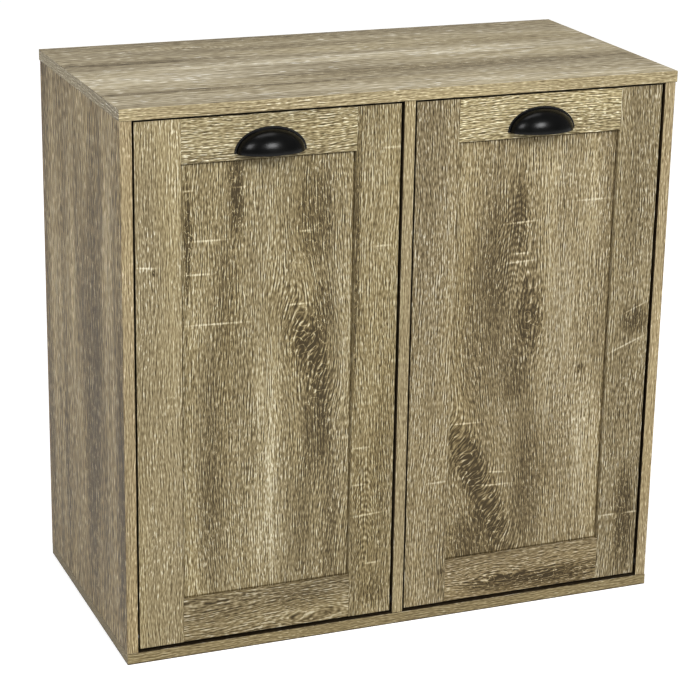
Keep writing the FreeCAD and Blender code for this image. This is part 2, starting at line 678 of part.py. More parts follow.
def cup_pull():
    """A hollow dome, open below, with a rim against the rail and two posts for its screws."""
    half = PULL_WIDTH / 2 - PULL_FLANGE
    high = PULL_HEIGHT - PULL_FLANGE
    outer = quarter_dome(half, high, PULL_DEPTH, 90)
    inner = quarter_dome(half - PULL_WALL, high - PULL_WALL, PULL_DEPTH - PULL_WALL, 360)
    rim = quarter_dome(PULL_WIDTH / 2, PULL_HEIGHT, PULL_DEPTH, 90)
    rim = rim.common(block(-PULL_WIDTH, PULL_WIDTH, -PULL_FLANGE_THICKNESS, 0, 0, PULL_WIDTH))
    posts = [rod(Vector(s * PULL_SCREW_SPACING / 2, 0, PULL_SCREW_UP), Vector(0, -1, 0), PULL_POST_RADIUS,
                 PULL_DEPTH).common(outer) for s in (-1, 1)]
    pull = outer.fuse(rim).cut(inner).fuse(posts)
    pull = pull.translated(Vector(0, DOOR_FRONT, PULL_LIP))
    radius = PULL_SCREW_RADIUS + STATIC_FIT
    depth = DOOR_THICKNESS + PULL_SCREW_GRIP + HOLE_END_ROOM
    return pull.cut([rod(p, Vector(0, -1, 0), radius, depth) for p in pull_screw_points()])


def pull_screws():
    length = DOOR_THICKNESS + PULL_SCREW_GRIP
    screw = pan_screw(PULL_SCREW_RADIUS, length, PULL_SCREW_HEAD_RADIUS, PULL_SCREW_HEAD)
    return [aimed(screw, p, Vector(0, -1, 0)) for p in pull_screw_points()]


def strike_screw_points():
    x = STRIKE_SCREW_SPACING / 2
    return [Vector(s * x, DOOR_BACK + STRIKE_THICKNESS, STRIKE_Z) for s in (-1, 1)]


def strike_plate():
    half, tall = STRIKE_WIDTH / 2, STRIKE_HEIGHT / 2
    plate = block(-half, half, DOOR_BACK, DOOR_BACK + STRIKE_THICKNESS, STRIKE_Z - tall, STRIKE_Z + tall)
    return plate.cut(screw_holes(strike_screw_points(), Vector(0, -1, 0), STRIKE_THICKNESS))


# Wire frame and bag of one door

def brace_pad_height():
    return FRAME_HEIGHT - BRACE_DROP


def frame_screw_points(side):
    """Two screws in the pad of an arm and one in the pad of its brace."""
    y = DOOR_BACK + PAD_THICKNESS
    zs = [FRAME_HEIGHT - ARM_SCREW_SPACING / 2, FRAME_HEIGHT + ARM_SCREW_SPACING / 2]
    zs.append(brace_pad_height() - BRACE_SCREW_DROP)
    return [Vector(side * ARM_X, y, z) for z in zs]


def bag_frame():
    """One welded piece: a bent wire, a cross wire, two braces and four pads."""
    corner_y = REAR_WIRE_Y - FRAME_CORNER
    corner_x = ARM_X - FRAME_CORNER
    bend = FRAME_CORNER * math.sqrt(0.5)
    z = FRAME_HEIGHT
    path = [Part.makeLine(Vector(-ARM_X, DOOR_BACK, z), Vector(-ARM_X, corner_y, z))]
    path.append(Part.Arc(Vector(-ARM_X, corner_y, z), Vector(-corner_x - bend, corner_y + bend, z),
                         Vector(-corner_x, REAR_WIRE_Y, z)).toShape())
    path.append(Part.makeLine(Vector(-corner_x, REAR_WIRE_Y, z), Vector(corner_x, REAR_WIRE_Y, z)))
    path.append(Part.Arc(Vector(corner_x, REAR_WIRE_Y, z), Vector(corner_x + bend, corner_y + bend, z),
                         Vector(ARM_X, corner_y, z)).toShape())
    path.append(Part.makeLine(Vector(ARM_X, corner_y, z), Vector(ARM_X, DOOR_BACK, z)))
    ring = Part.Wire(Part.makeCircle(ARM_RADIUS, Vector(-ARM_X, DOOR_BACK, z), Y_AXIS))
    wire = Part.Wire(path).makePipeShell([ring], True, False)
    pieces = [rod(Vector(-ARM_X, FRONT_WIRE_Y, z), X_AXIS, ARM_RADIUS, 2 * ARM_X)]
    for side in (-1, 1):
        pieces += frame_side(side)
    welded = wire.fuse(pieces).removeSplitter()
    points = frame_screw_points(-1) + frame_screw_points(1)
    return welded.cut(screw_holes(points, Vector(0, -1, 0), PAD_THICKNESS))


def frame_side(side):
    """The brace and the two pads at one side of a wire frame."""
    x = side * ARM_X
    pads = [(FRAME_HEIGHT, ARM_PAD_HEIGHT), (brace_pad_height(), BRACE_PAD_HEIGHT)]
    made = []
    for z, tall in pads:
        pad = block(x - PAD_WIDTH / 2, x + PAD_WIDTH / 2, DOOR_BACK, DOOR_BACK + PAD_THICKNESS,
                    z - tall / 2, z + tall / 2)
        made.append(rounded(pad, PAD_WIDTH / 4, Y_AXIS))
    high = Vector(x, DOOR_BACK + BRACE_BACK, FRAME_HEIGHT)
    low = Vector(x, DOOR_BACK, brace_pad_height() + BRACE_RADIUS)
    slope = low - high
    brace = rod(high, slope, BRACE_RADIUS, slope.Length + BRACE_RADIUS)
    in_door = block(x - PAD_WIDTH, x + PAD_WIDTH, DOOR_FRONT, DOOR_BACK, low.z - PAD_WIDTH, low.z + PAD_WIDTH)
    made.append(brace.cut(in_door))
    return made


def bag_outline(grow, front_corner, rear_corner, z, side_taper=0, front_taper=0, rear_taper=0):
    """A rectangle with round corners, grown outward from the middles of the frame's wires."""
    x = ARM_X + grow - side_taper
    y0 = FRONT_WIRE_Y - grow + front_taper
    y1 = REAR_WIRE_Y + grow - rear_taper
    corners = [(-x, y0, 1, 1, front_corner), (x, y0, -1, 1, front_corner)]
    corners += [(x, y1, -1, -1, rear_corner), (-x, y1, 1, -1, rear_corner)]
    edges = []
    ends = []
    cut = 1 - math.sqrt(0.5)
    for i, (cx, cy, sx, sy, r) in enumerate(corners):
        along_x = Vector(cx + sx * r, cy, z)
        along_y = Vector(cx, cy + sy * r, z)
        middle = Vector(cx + sx * r * cut, cy + sy * r * cut, z)
        first, last = (along_y, along_x) if i % 2 == 0 else (along_x, along_y)
        ends.append((first, middle, last))
    for i, (first, middle, last) in enumerate(ends):
        edges.append(Part.Arc(first, middle, last).toShape())
        edges.append(Part.makeLine(last, ends[(i + 1) % len(ends)][0]))
    return Part.Wire(edges)


def bag_loft(grow, low, high):
    """The bag's own form from its mouth to its bottom, for its outside or its inside."""
    rear_corner = FRAME_CORNER + grow
    bottom_corner = BAG_BOTTOM_CORNER + grow
    mouth = bag_outline(grow, BAG_FRONT_CORNER, rear_corner, high)
    shoulder = bag_outline(grow, BAG_FRONT_CORNER, rear_corner, FRAME_HEIGHT - BAG_SHOULDER)
    bottom = bag_outline(grow, bottom_corner, bottom_corner, low,
                         BAG_SIDE_TAPER, BAG_FRONT_TAPER, BAG_REAR_TAPER)
    return Part.makeLoft([mouth, shoulder, bottom], True, True)


def hem_prism(grow, front_corner, low, high):
    outline = bag_outline(grow, front_corner, FRAME_CORNER + grow, low)
    return Part.Face(outline).extrude(Vector(0, 0, high - low))


def laundry_bag():
    """A canvas bag, open above, with its hem folded out over the wires."""
    wall_out = -ARM_RADIUS - HEM_ROOM
    wall_in = wall_out - FABRIC
    hem_in = ARM_RADIUS + HEM_ROOM
    hem_out = hem_in + FABRIC
    low = FRAME_HEIGHT - HEM_DROP
    crown = FRAME_HEIGHT + hem_out
    body = bag_loft(wall_out, BAG_BOTTOM, crown)
    hem = hem_prism(hem_out, hem_out, low, crown).cut(hem_prism(hem_in, hem_in, low, FRAME_HEIGHT + hem_in))
    inside = bag_loft(wall_in, BAG_BOTTOM + FABRIC, crown + FABRIC)
    front = FRONT_WIRE_Y - hem_out
    notches = []
    for side in (-1, 1):
        x0, x1 = sorted((side * (ARM_X - ARM_RADIUS - ARM_NOTCH), side * (ARM_X + hem_out)))
        notches.append(block(x0, x1, front, FRONT_WIRE_Y, low, FRAME_HEIGHT + hem_in))
    return body.fuse(hem).cut([inside] + notches)


def door():
    """Every piece that moves with one door, by the end of its node name."""
    sides = (-1, 1)
    frame_points = frame_screw_points(-1) + frame_screw_points(1)
    stay_points = stay_screw_points(-1) + stay_screw_points(1)
    inward = Vector(0, -1, 0)
    return {
        "door_left_stile": [door_stile(-1)],
        "door_right_stile": [door_stile(1)],
        "door_top_rail": [top_rail()],
        "door_bottom_rail": [bottom_rail()],
        "door_panel": [door_panel()],
        "pivot_pins": [pivot_pin(side) for side in sides],
        "tilt_stays": [stay(side) for side in sides],
        "stay_screws": small_screws(stay_points, inward),
        "cup_pull": [cup_pull()],
        "pull_screws": pull_screws(),
        "strike_plate": [strike_plate()],
        "strike_screws": small_screws(strike_screw_points(), inward),
        "bag_frame": [bag_frame()],
        "bag_frame_screws": small_screws(frame_points, inward),
        "laundry_bag": [laundry_bag()],
    }


def main():
    os.makedirs("parts", exist_ok=True)
    nodes = carcass()
    one_door = door()
    for hand, place in (("left", -COMPARTMENT), ("right", COMPARTMENT)):
        for name, solids in one_door.items():
            nodes[hand + "_" + name] = [shifted(solid, place) for solid in solids]
    for name, solids in sorted(nodes.items()):
        shape = solids[0] if len(solids) == 1 else Part.makeCompound(solids)
        shape.exportStep("parts/" + name + ".step")
        print(name, len(shape.Solids), "solids", shape.isValid(), round(shape.Volume, 1), "mm3")


main()
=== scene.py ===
import math

import bmesh
import bpy
from mathutils import Euler, Matrix, Vector


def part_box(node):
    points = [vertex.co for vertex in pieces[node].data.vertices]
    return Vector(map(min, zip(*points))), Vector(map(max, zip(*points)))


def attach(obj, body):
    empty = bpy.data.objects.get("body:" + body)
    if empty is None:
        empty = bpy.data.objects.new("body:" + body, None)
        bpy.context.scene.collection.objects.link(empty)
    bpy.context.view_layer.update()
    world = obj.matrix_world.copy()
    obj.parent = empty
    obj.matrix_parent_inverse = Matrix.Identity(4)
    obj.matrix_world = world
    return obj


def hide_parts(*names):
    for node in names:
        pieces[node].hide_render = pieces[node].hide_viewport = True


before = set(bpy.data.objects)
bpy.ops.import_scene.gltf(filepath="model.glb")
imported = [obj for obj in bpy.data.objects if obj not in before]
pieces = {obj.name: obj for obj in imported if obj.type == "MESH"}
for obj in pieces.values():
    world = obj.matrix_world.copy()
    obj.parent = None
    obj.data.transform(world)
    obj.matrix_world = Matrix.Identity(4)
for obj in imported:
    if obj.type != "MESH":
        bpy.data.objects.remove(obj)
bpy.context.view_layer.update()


# Base board. Chipboard with a limed-oak foil pressed on, like every board of this cabinet: a printed grain
# with pale lime in its pores, soft dark bands, knots and the marks of a saw. It carries the uprights, and a
# painted contact shadow darkens its lower edge.

class Shade:
    """A number that varies over a surface; plain arithmetic on it adds the nodes that work it out."""

    def __init__(self, finish, socket):
        self.finish = finish
        self.socket = socket

    def __add__(self, other):
        return self.finish.step("ADD", self, other)

    def __sub__(self, other):
        return self.finish.step("SUBTRACT", self, other)

    def __mul__(self, other):
        return self.finish.step("MULTIPLY", self, other)

    def __truediv__(self, other):
        return self.finish.step("DIVIDE", self, other)


class Finish:
    """A material, with short calls for the nodes that vary it from place to place."""

    def __init__(self, name, settings):
        self.material = bpy.data.materials.new(name)
        self.material.use_nodes = True
        self.tree = self.material.node_tree
        self.shader = self.tree.nodes["Principled BSDF"]
        for socket, value in settings.items():
            self.shader.inputs[socket].default_value = value
        self.coordinates = self.tree.nodes.new("ShaderNodeTexCoord")

    def feed(self, socket, value):
        if isinstance(value, Shade):
            self.tree.links.new(value.socket, socket)
        else:
            socket.default_value = value

    def step(self, operation, *values):
        node = self.tree.nodes.new("ShaderNodeMath")
        node.operation = operation
        for socket, value in zip(node.inputs, values):
            self.feed(socket, value)
        return Shade(self, node.outputs[0])

    def split(self, output):
        node = self.tree.nodes.new("ShaderNodeSeparateXYZ")
        self.tree.links.new(self.coordinates.outputs[output], node.inputs[0])
        return [Shade(self, socket) for socket in node.outputs]

    def facing(self, part):
        """1 where the surface faces along an axis, either way, and 0 elsewhere."""
        return self.step("GREATER_THAN", self.step("ABSOLUTE", part), 0.7)

    def pick(self, which, first, second):
        """The first value where which is 0, and the second where it is 1."""
        return which * (second - first) + first

    def mottle(self, along, across, depth, detail=2.0, roughness=0.5):
        """Cloudy variation from 0 to 1 about 0.5, one cloud to each unit of its three places."""
        place = self.tree.nodes.new("ShaderNodeCombineXYZ")
        for socket, value in zip(place.inputs, (along, across, depth)):
            self.feed(socket, value)
        clouds = self.tree.nodes.new("ShaderNodeTexNoise")
        clouds.inputs["Scale"].default_value = 1.0
        clouds.inputs["Detail"].default_value = detail
        clouds.inputs["Roughness"].default_value = roughness
        self.tree.links.new(place.outputs[0], clouds.inputs["Vector"])
        return Shade(self, clouds.outputs[0])

    def fade(self, spread):
        """1 at no spread, and softly down to 0 past a spread of 2."""
        return self.step("EXPONENT", spread * -1.0)

    def above(self, shade, low, high):
        """0 up to the low value, 1 from the high value, and a smooth rise between."""
        node = self.tree.nodes.new("ShaderNodeMapRange")
        node.interpolation_type = "SMOOTHSTEP"
        for socket, value in zip(node.inputs, (shade, low, high, 0.0, 1.0)):
            self.feed(socket, value)
        return Shade(self, node.outputs[0])

    def inverse(self, shade):
        return self.step("SUBTRACT", 1.0, shade)

    def within(self, low, high):
        """1 inside a box given by two corners, and 0 outside it."""
        inside = 1.0
        for place, least, most in zip(self.split("Object"), low, high):
            off_middle = self.step("ABSOLUTE", place - (least + most) / 2)
            inside = self.step("LESS_THAN", off_middle, (most - least) / 2) * inside
        return inside

    def colours(self, shade, stops):
        node = self.tree.nodes.new("ShaderNodeValToRGB")
        while len(node.color_ramp.elements) < len(stops):
            node.color_ramp.elements.new(0.5)
        for element, (place, colour) in zip(node.color_ramp.elements, stops):
            element.position = place
            element.color = (*colour, 1.0)
        self.feed(node.inputs[0], shade)
        self.tree.links.new(node.outputs[0], self.shader.inputs["Base Color"])

    def stain(self, where, tint):
        """Multiplies the colour by a tint, as far as the shade says at each place."""
        colour = self.shader.inputs["Base Color"].links[0].from_socket
        node = self.tree.nodes.new("ShaderNodeMix")
        node.data_type = "RGBA"
        node.blend_type = "MULTIPLY"
        self.feed(node.inputs["Factor"], where)
        self.tree.links.new(colour, node.inputs["A"])
        node.inputs["B"].default_value = (*tint, 1.0)
        self.tree.links.new(node.outputs["Result"], self.shader.inputs["Base Color"])

    def relief(self, height, depth, strength=1.0):
        node = self.tree.nodes.new("ShaderNodeBump")
        node.inputs["Strength"].default_value = strength
        node.inputs["Distance"].default_value = depth
        self.feed(node.inputs["Height"], height)
        self.tree.links.new(node.outputs[0], self.shader.inputs["Normal"])

    def gloss(self, shade):
        self.feed(self.shader.inputs["Roughness"], shade)

    def dress(self, *names):
        for name in names:
            materials = pieces[name].data.materials
            materials.clear()
            materials.append(self.material)


OAK_COLOURS = (
    (0.00, (0.062, 0.046, 0.024)),
    (0.25, (0.148, 0.112, 0.058)),
    (0.50, (0.285, 0.229, 0.130)),
    (0.75, (0.490, 0.415, 0.262)),
    (1.00, (0.820, 0.765, 0.610)),
)
WARM_TINT = (1.00, 0.98, 0.91)
# Painted shade for the faces round the doors' narrow gaps, standing in for the shadow deep inside them.
PAINTED_GAP_SHADE = (0.10, 0.085, 0.07)
SCRATCH_WIDTH = 0.0012

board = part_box("base_panel")[1].z
side_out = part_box("right_side_panel")[1].x
uprights_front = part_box("right_side_panel")[0].y
top_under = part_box("top_panel")[0].z
door_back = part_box("left_door_left_stile")[1].y
# The box of the opening behind the doors: board faces inside it get the painted gap shade.
OPENING_LOW = (board / 2 - side_out, uprights_front + 0.0001, board / 2)
OPENING_HIGH = (side_out - board / 2, door_back, top_under + board / 2)


class OakPrint(Finish):
    """Limed oak, by places along and across its grain, which runs upright or level on a piece."""

    # Each mottling of the print: clouds to a metre in its two directions, its own seed, detail and roughness.
    DRIFT = (3.0, 6.0, 0.0, 2.0, 0.5)
    CURL = (14.0, 42.0, 2.0, 1.0, 0.5)
    CLOUD = (18.0, 1.6, 3.0, 3.0, 0.5)
    STREAK = (110.0, 6.0, 7.0, 2.0, 0.6)
    FIBRE = (600.0, 36.0, 11.0, 1.0, 0.6)
    GRIT = (900.0, 150.0, 13.0, 0.0, 0.5)
    PORE = (760.0, 90.0, 17.0, 1.0, 0.5)
    LIME = (760.0, 110.0, 23.0, 1.0, 0.5)
    PATCH = (30.0, 9.0, 29.0, 2.0, 0.5)
    VEIN = (150.0, 55.0, 37.0, 1.0, 0.5)
    THREAD_STEP = 0.8
    FLECK_RANGE = (0.58, 0.70)
    PATCH_RANGE = (0.40, 0.62)
    VEIN_WIDTH = 0.025

    # How much each of them counts in the shade.
    CLOUD_SHARE = 0.58
    STREAK_SHARE = 0.28
    GRIT_SHARE = 0.90
    FIBRE_SHARE = 1.45
    PORE_SHARE = 0.25
    LIME_SHARE = 0.45
    VEIN_SHARE = 1.2
    FIGURE_SHARE = 0.26

    def __init__(self, name, grain, seed):
        super().__init__(name, {"Specular IOR Level": 0.15})
        self.seed = seed
        self.find_places(grain)
        self.drift = self.layer(self.along, self.across, self.DRIFT) - 0.5
        self.curl = self.layer(self.along, self.across, self.CURL) - 0.5
        self.flow = self.across + self.drift * 0.030 + self.curl * 0.0035
        self.dark = self.drift * 0.2
        self.figure = self.drift * 0.1

    def find_places(self, grain):
        x, y, z = self.split("Object")
        face_x, _, face_z = self.split("Normal")
        if grain == "upright":
            end = self.facing(face_z)
            self.along = self.pick(end, z, x)
            self.across = self.pick(end, self.pick(self.facing(face_x), x, y), y)
            self.broad_face = self.facing(face_x)
        else:
            self.along = self.pick(self.facing(face_x), x, y)
            self.across = self.pick(self.facing(face_z), z, y)
            self.broad_face = self.facing(face_z)

    def layer(self, first, second, sizes, shift=0.0):
        """One mottling of the print, from 0 to 1 about 0.5, or the same one a little to the side."""
        first_scale, second_scale, own_seed, detail, roughness = sizes
        place = first * first_scale
        if shift:
            place = place + shift
        return self.mottle(place, second * second_scale, self.seed + own_seed, detail, roughness)

    def spread(self, aside, upward, half_width, half_length):
        """0 at the middle of a mark, 1 at its edge and more beyond it."""
        return aside * aside / half_width ** 2 + upward * upward / half_length ** 2

    def add_knot(self, across, along, half_width, half_length, lean, darkness):
        """Rings round a dark middle, with the grain parted to pass it."""
        upward = self.along - along + self.drift * 0.060
        aside = self.across - across - upward * lean + self.curl * 0.014
        spread = self.spread(aside, upward, half_width, half_length)
        self.flow = self.flow - aside * self.fade(spread * 0.35) * 0.75
        ring = self.step("SINE", self.step("SQRT", spread) * 22.0 + self.drift * 34.0 + self.curl * 14.0)
        self.figure = self.figure + ring * self.fade(spread * 0.25) * 0.6
        self.dark = self.dark + self.fade(spread * 1.3) * darkness

    def add_arches(self, across, along, steep, reach):
        """A stack of arches that starts at a peak and runs down, as in a board from the side of a log."""
        aside = self.across - across + self.drift * 0.030
        down = self.along * -1.0 + along + self.curl * 0.020
        arch = self.step("SINE", (down - aside * aside * steep) * 760.0)
        inside = self.above(down, -0.010, 0.030) * self.above(down, reach, reach * 0.6)
        self.figure = self.figure + arch * 0.7 * inside * self.fade(aside * aside / 0.035 ** 2)

    def grow(self, front, broad):
        """The threads, pores and lime. Front is how strong the flecks and the bands are. Broad is the same on
        the broad face of a board, and how fine the grain is there."""
        self.fleck = self.pick(self.broad_face, front[0], broad[0])
        self.bands = self.pick(self.broad_face, front[1], broad[1])
        fine = self.pick(self.broad_face, 1.0, broad[2])
        strand = self.flow * fine
        length = self.along * fine
        self.cloud = self.layer(self.flow, self.along, self.CLOUD) - 0.5
        self.streak = self.layer(strand, self.along, self.STREAK) - 0.5
        beside = self.layer(strand, length, self.FIBRE, self.THREAD_STEP)
        self.fibre = self.layer(strand, length, self.FIBRE) - beside
        self.grit = self.layer(strand, length, self.GRIT) - 0.5
        self.pore = self.above(self.layer(strand, length, self.PORE), *self.FLECK_RANGE)
        patch = self.above(self.layer(self.across, self.along, self.PATCH), *self.PATCH_RANGE)
        self.lime = self.above(self.layer(strand, length, self.LIME), *self.FLECK_RANGE) * (patch + 0.3)
        vein = self.layer(self.flow, self.along, self.VEIN) - 0.5
        self.vein = self.above(self.step("ABSOLUTE", vein), self.VEIN_WIDTH, 0.0)

    def add_smudge(self, across, along, half_width, half_length, lean, darkness):
        """A soft dark patch or band, or a pale one where the darkness is below 0."""
        upward = self.along - along + self.curl * 0.030
        aside = self.across - across - upward * lean + self.streak * 0.014 + self.fibre * 0.006
        spread = self.spread(aside, upward, half_width, half_length)
        self.dark = self.dark + self.fade(spread * spread * 0.6) * darkness

    def blend(self):
        """Brings the bands, the dark marks with their pale veins, the flecks and the figure together."""
        shade = (self.cloud * self.CLOUD_SHARE + self.streak * self.STREAK_SHARE) * self.bands + 0.5
        shade = shade - self.dark * (self.streak * 2.0 + 1.0)
        shade = shade + self.vein * self.step("MAXIMUM", self.dark, 0.0) * self.VEIN_SHARE
        flecks = self.grit * self.GRIT_SHARE + self.fibre * self.FIBRE_SHARE
        flecks = flecks - self.pore * self.PORE_SHARE + self.lime * self.LIME_SHARE
        self.shade = shade + flecks * self.fleck + self.figure * (self.fibre + 0.8) * self.FIGURE_SHARE

    def add_scratch(self, across, along, half_length, slope):
        """A pale saw mark across the grain, broken up by the threads."""
        aside = self.across - across
        upward = self.along - along - aside * slope
        spread = self.spread(aside, upward, half_length, SCRATCH_WIDTH)
        self.shade = self.shade + self.fade(spread) * (self.fibre * 1.5 + 0.60)

    def paint(self, tint):
        stops = []
        for place, colour in OAK_COLOURS:
            stops.append((place, [part * share for part, share in zip(colour, tint)]))
        self.colours(self.shade, stops)
        self.stain(self.above(self.cloud, -0.15, 0.15), WARM_TINT)
        self.gloss(self.fibre * 0.30 + self.streak * 0.15 + 0.54)
        self.relief(self.grit + self.fibre - self.pore * 0.6 + self.lime * 0.3, 0.00020, 0.5)


def oak_print(name, grain, seed, tint, knots=(), smudges=(), scratches=(), arches=(), front=(1.0, 1.0),
              broad=(1.0, 1.0, 1.0)):
    """The finished print on one piece. A knot or smudge is (across, along, half width, half length, lean,
    darkness), and a scratch is (across, along, half length, slope). A stack of arches is (across, along of
    its peak, how steep, how far it runs down)."""
    oak = OakPrint(name, grain, seed)
    for knot in knots:
        oak.add_knot(*knot)
    for stack in arches:
        oak.add_arches(*stack)
    oak.grow(front, broad)
    for smudge in smudges:
        oak.add_smudge(*smudge)
    oak.blend()
    for scratch in scratches:
        oak.add_scratch(*scratch)
    oak.paint(tint)
    return oak


def carcass_board(names, edge_tint, *print_settings, **marks):
    """The print on a board, tinted on its lipped edges, with painted shade where it faces the gap round a
    door.
    """
    oak = oak_print(names[0] + "_oak", *print_settings, **marks)
    edge = oak.facing(oak.split("Normal")[1])
    oak.stain(edge, edge_tint)
    # Painted shade on the board's faces inside the opening, where the gap round a door lies in shadow.
    oak.stain(oak.within(OPENING_LOW, OPENING_HIGH) * oak.inverse(edge), PAINTED_GAP_SHADE)
    oak.dress(*names)
    return oak


EDGE = (0.52, 0.60)
CONTACT_SHADOW_HEIGHT = 0.0018
CONTACT_SHADOW_TINT = (0.30, 0.27, 0.24)
base_oak = carcass_board(["base_panel"], (1.14, 1.14, 1.04), "level", 1.0, (0.78, 0.76, 0.74), front=EDGE)
base_edges = base_oak.inverse(base_oak.facing(base_oak.split("Normal")[2]))
# Painted contact shadow: the lowest strip of the base's edges is darkened where it meets the floor.
base_oak.stain(base_oak.within((-1.0, -1.0, -1.0), (1.0, 1.0, CONTACT_SHADOW_HEIGHT)) * base_edges, CONTACT_SHADOW_TINT)


# Uprights. Two sides and a divider of the same board, between the base and the top, with the grain upright.
# Their front edges are lipped with the same foil.

SIDE_BANDS = (
    (-0.178, 0.34, 0.013, 0.38, 0.00, 0.26),
    (-0.129, 0.40, 0.020, 0.42, 0.00, -0.13),
    (-0.055, 0.36, 0.028, 0.36, 0.00, 0.24),
    (-0.015, 0.30, 0.018, 0.22, 0.00, 0.20),
    (0.042, 0.40, 0.018, 0.38, 0.00, -0.10),
    (0.090, 0.35, 0.012, 0.42, 0.00, 0.14),
    (0.128, 0.45, 0.014, 0.32, 0.00, -0.08),
    (0.172, 0.30, 0.016, 0.44, 0.00, 0.16),
    (0.000, 0.08, 0.220, 0.180, 0.00, 0.06),
)
carcass_board(["left_side_panel", "right_side_panel"], (1.34, 1.42, 1.60), "upright", 31.0,
              (0.92, 0.845, 0.735), smudges=SIDE_BANDS, front=EDGE, broad=(1.10, 2.1, 0.55))
carcass_board(["centre_divider"], (1.18, 1.20, 1.17), "upright", 41.0, (1.0, 0.98, 0.98), front=EDGE)


# Top board. The same board, a little wider than the carcass, with its grain from end to end. Dowels and cams
# hold it down on the uprights.

TOP_BANDS = (
    (0.171, 0.00, 0.022, 0.45, 0.00, 0.14),
    (0.114, -0.02, 0.016, 0.20, 0.00, 0.15),
    (0.065, -0.30, 0.009, 0.13, 0.00, 0.20),
    (0.076, 0.20, 0.016, 0.18, 0.00, 0.17),
    (0.023, 0.05, 0.018, 0.38, 0.00, -0.15),
    (-0.069, 0.13, 0.019, 0.27, 0.00, 0.20),
    (-0.038, -0.26, 0.034, 0.15, 0.00, -0.15),
    (-0.114, -0.22, 0.007, 0.20, 0.00, 0.22),
    (-0.160, 0.00, 0.016, 0.42, 0.00, -0.10),
)
TOP_KNOTS = (
    (0.137, -0.174, 0.012, 0.030, 0.00, 0.08),
)
carcass_board(["top_panel"], (1.14, 1.10, 0.94), "level", 53.0, (1.22, 1.28, 1.48), TOP_KNOTS, TOP_BANDS,
              front=EDGE, broad=(0.55, 0.9, 0.50))


# Wall rails and back. Two rails of the same board lie under the top at the rear and take the wall screws.
# The back is thin hardboard in two halves, smooth and brown, nailed to the rear edges with flat-headed nails.

oak_print("rail_oak", "level", 61.0, (0.95, 0.95, 0.95)).dress("left_wall_rail", "right_wall_rail")


def hardboard():
    board = Finish("hardboard", {"Specular IOR Level": 0.3})
    x, y, z = board.split("Object")
    cloud = board.mottle(x * 9.0, z * 9.0, y, 4.0)
    fleck = board.mottle(x * 420.0, z * 420.0, y, 3.0, 0.7)
    hair = board.mottle(x * 900.0 + cloud * 40.0, z * 90.0, y, 2.0)
    shade = (cloud - 0.5) * 0.5 + (fleck - 0.5) * 0.8 + (hair - 0.5) * 0.4 + 0.5
    board.colours(shade, (
        (0.15, (0.120, 0.066, 0.032)),
        (0.50, (0.225, 0.135, 0.068)),
        (0.85, (0.340, 0.225, 0.125)),
    ))
    board.gloss(fleck * 0.2 + 0.5)
    board.relief(fleck + hair * 0.5, 0.0002, 0.4)
    return board


hardboard().dress("left_back_panel", "right_back_panel")


def bare_metal(name, dark, light, roughness, wear):
    """Plated steel or zinc: a dull bright metal with faint cloudy patches and fine scratches."""
    metal = Finish(name, {"Metallic": 1.0})
    x, y, z = metal.split("Object")
    patch = metal.mottle(x * 60.0, y * 60.0 + z * 25.0, z * 60.0, 4.0, 0.6)
    scratch = metal.mottle(x * 700.0, y * 240.0, z * 2600.0, 2.0, 0.6)
    shade = (patch - 0.5) * 1.2 + (scratch - 0.5) * wear + 0.5
    metal.colours(shade, ((0.2, dark), (0.8, light)))
    metal.gloss((patch - 0.5) * 0.25 + (scratch - 0.5) * wear * 0.4 + roughness)
    metal.relief(scratch, 0.00004, 0.3)
    return metal


zinc = bare_metal("zinc_plate", (0.36, 0.37, 0.38), (0.62, 0.63, 0.62), 0.34, 0.6)
zinc.dress("back_nails")


# Dowels and cam fittings. Beech dowels line the boards up, and zinc cams with their bolts pull them together.
# Only the faces of the cams show, inside the compartments.

def beech_wood():
    beech = Finish("beech", {"Specular IOR Level": 0.3})
    x, y, z = beech.split("Object")
    grain = beech.mottle((x + y) * 900.0, z * 30.0, x * 300.0, 3.0)
    ray = beech.above(beech.mottle(x * 900.0, z * 320.0, y * 900.0, 1.0), 0.62, 0.7)
    beech.colours(grain - ray * 0.2, ((0.2, (0.42, 0.25, 0.12)), (0.8, (0.66, 0.45, 0.26))))
    beech.gloss(grain * 0.2 + 0.5)
    beech.relief(grain, 0.0001, 0.4)
    return beech


beech_wood().dress("wood_dowels")
zinc.dress("cam_bolts", "cam_nuts")


# Bushes, studs and catches. Black nylon bushes for the door pins, shouldered steel studs for the stays, and
# magnetic catches: a white body screwed under the top, with a ferrite magnet between two steel poles.

def nylon(name, dark, light):
    plastic = Finish(name, {"Specular IOR Level": 0.4})
    x, y, z = plastic.split("Object")
    haze = plastic.mottle(x * 80.0, y * 80.0, z * 80.0, 3.0)
    skin = plastic.mottle(x * 2600.0, y * 2600.0, z * 2600.0, 2.0)
    plastic.colours(haze, ((0.3, dark), (0.7, light)))
    plastic.gloss(skin * 0.2 + 0.36)
    plastic.relief(skin, 0.00005, 0.4)
    return plastic


def ferrite():
    magnet = Finish("ferrite", {"Specular IOR Level": 0.3})
    x, y, z = magnet.split("Object")
    grit = magnet.mottle(x * 1500.0, y * 1500.0, z * 1500.0, 3.0, 0.7)
    magnet.colours(grit, ((0.3, (0.020, 0.020, 0.022)), (0.75, (0.070, 0.068, 0.066))))
    magnet.gloss(grit * 0.3 + 0.5)
    magnet.relief(grit, 0.0001, 0.5)
    return magnet


nylon("black_nylon", (0.010, 0.010, 0.010), (0.022, 0.022, 0.021)).dress("pivot_bushes")
nylon("white_nylon", (0.66, 0.65, 0.60), (0.80, 0.79, 0.75)).dress("catch_bodies")
ferrite().dress("catch_magnets")
zinc.dress("stay_studs", "catch_poles", "catch_screws")


# Doors. Each is a frame of two stiles and two rails round a thin panel, all in the oak foil, and it tilts out
# about its lower edge. The grain follows each stick, and the panels have the largest knots.

EDGE_SKIN = 0.0005


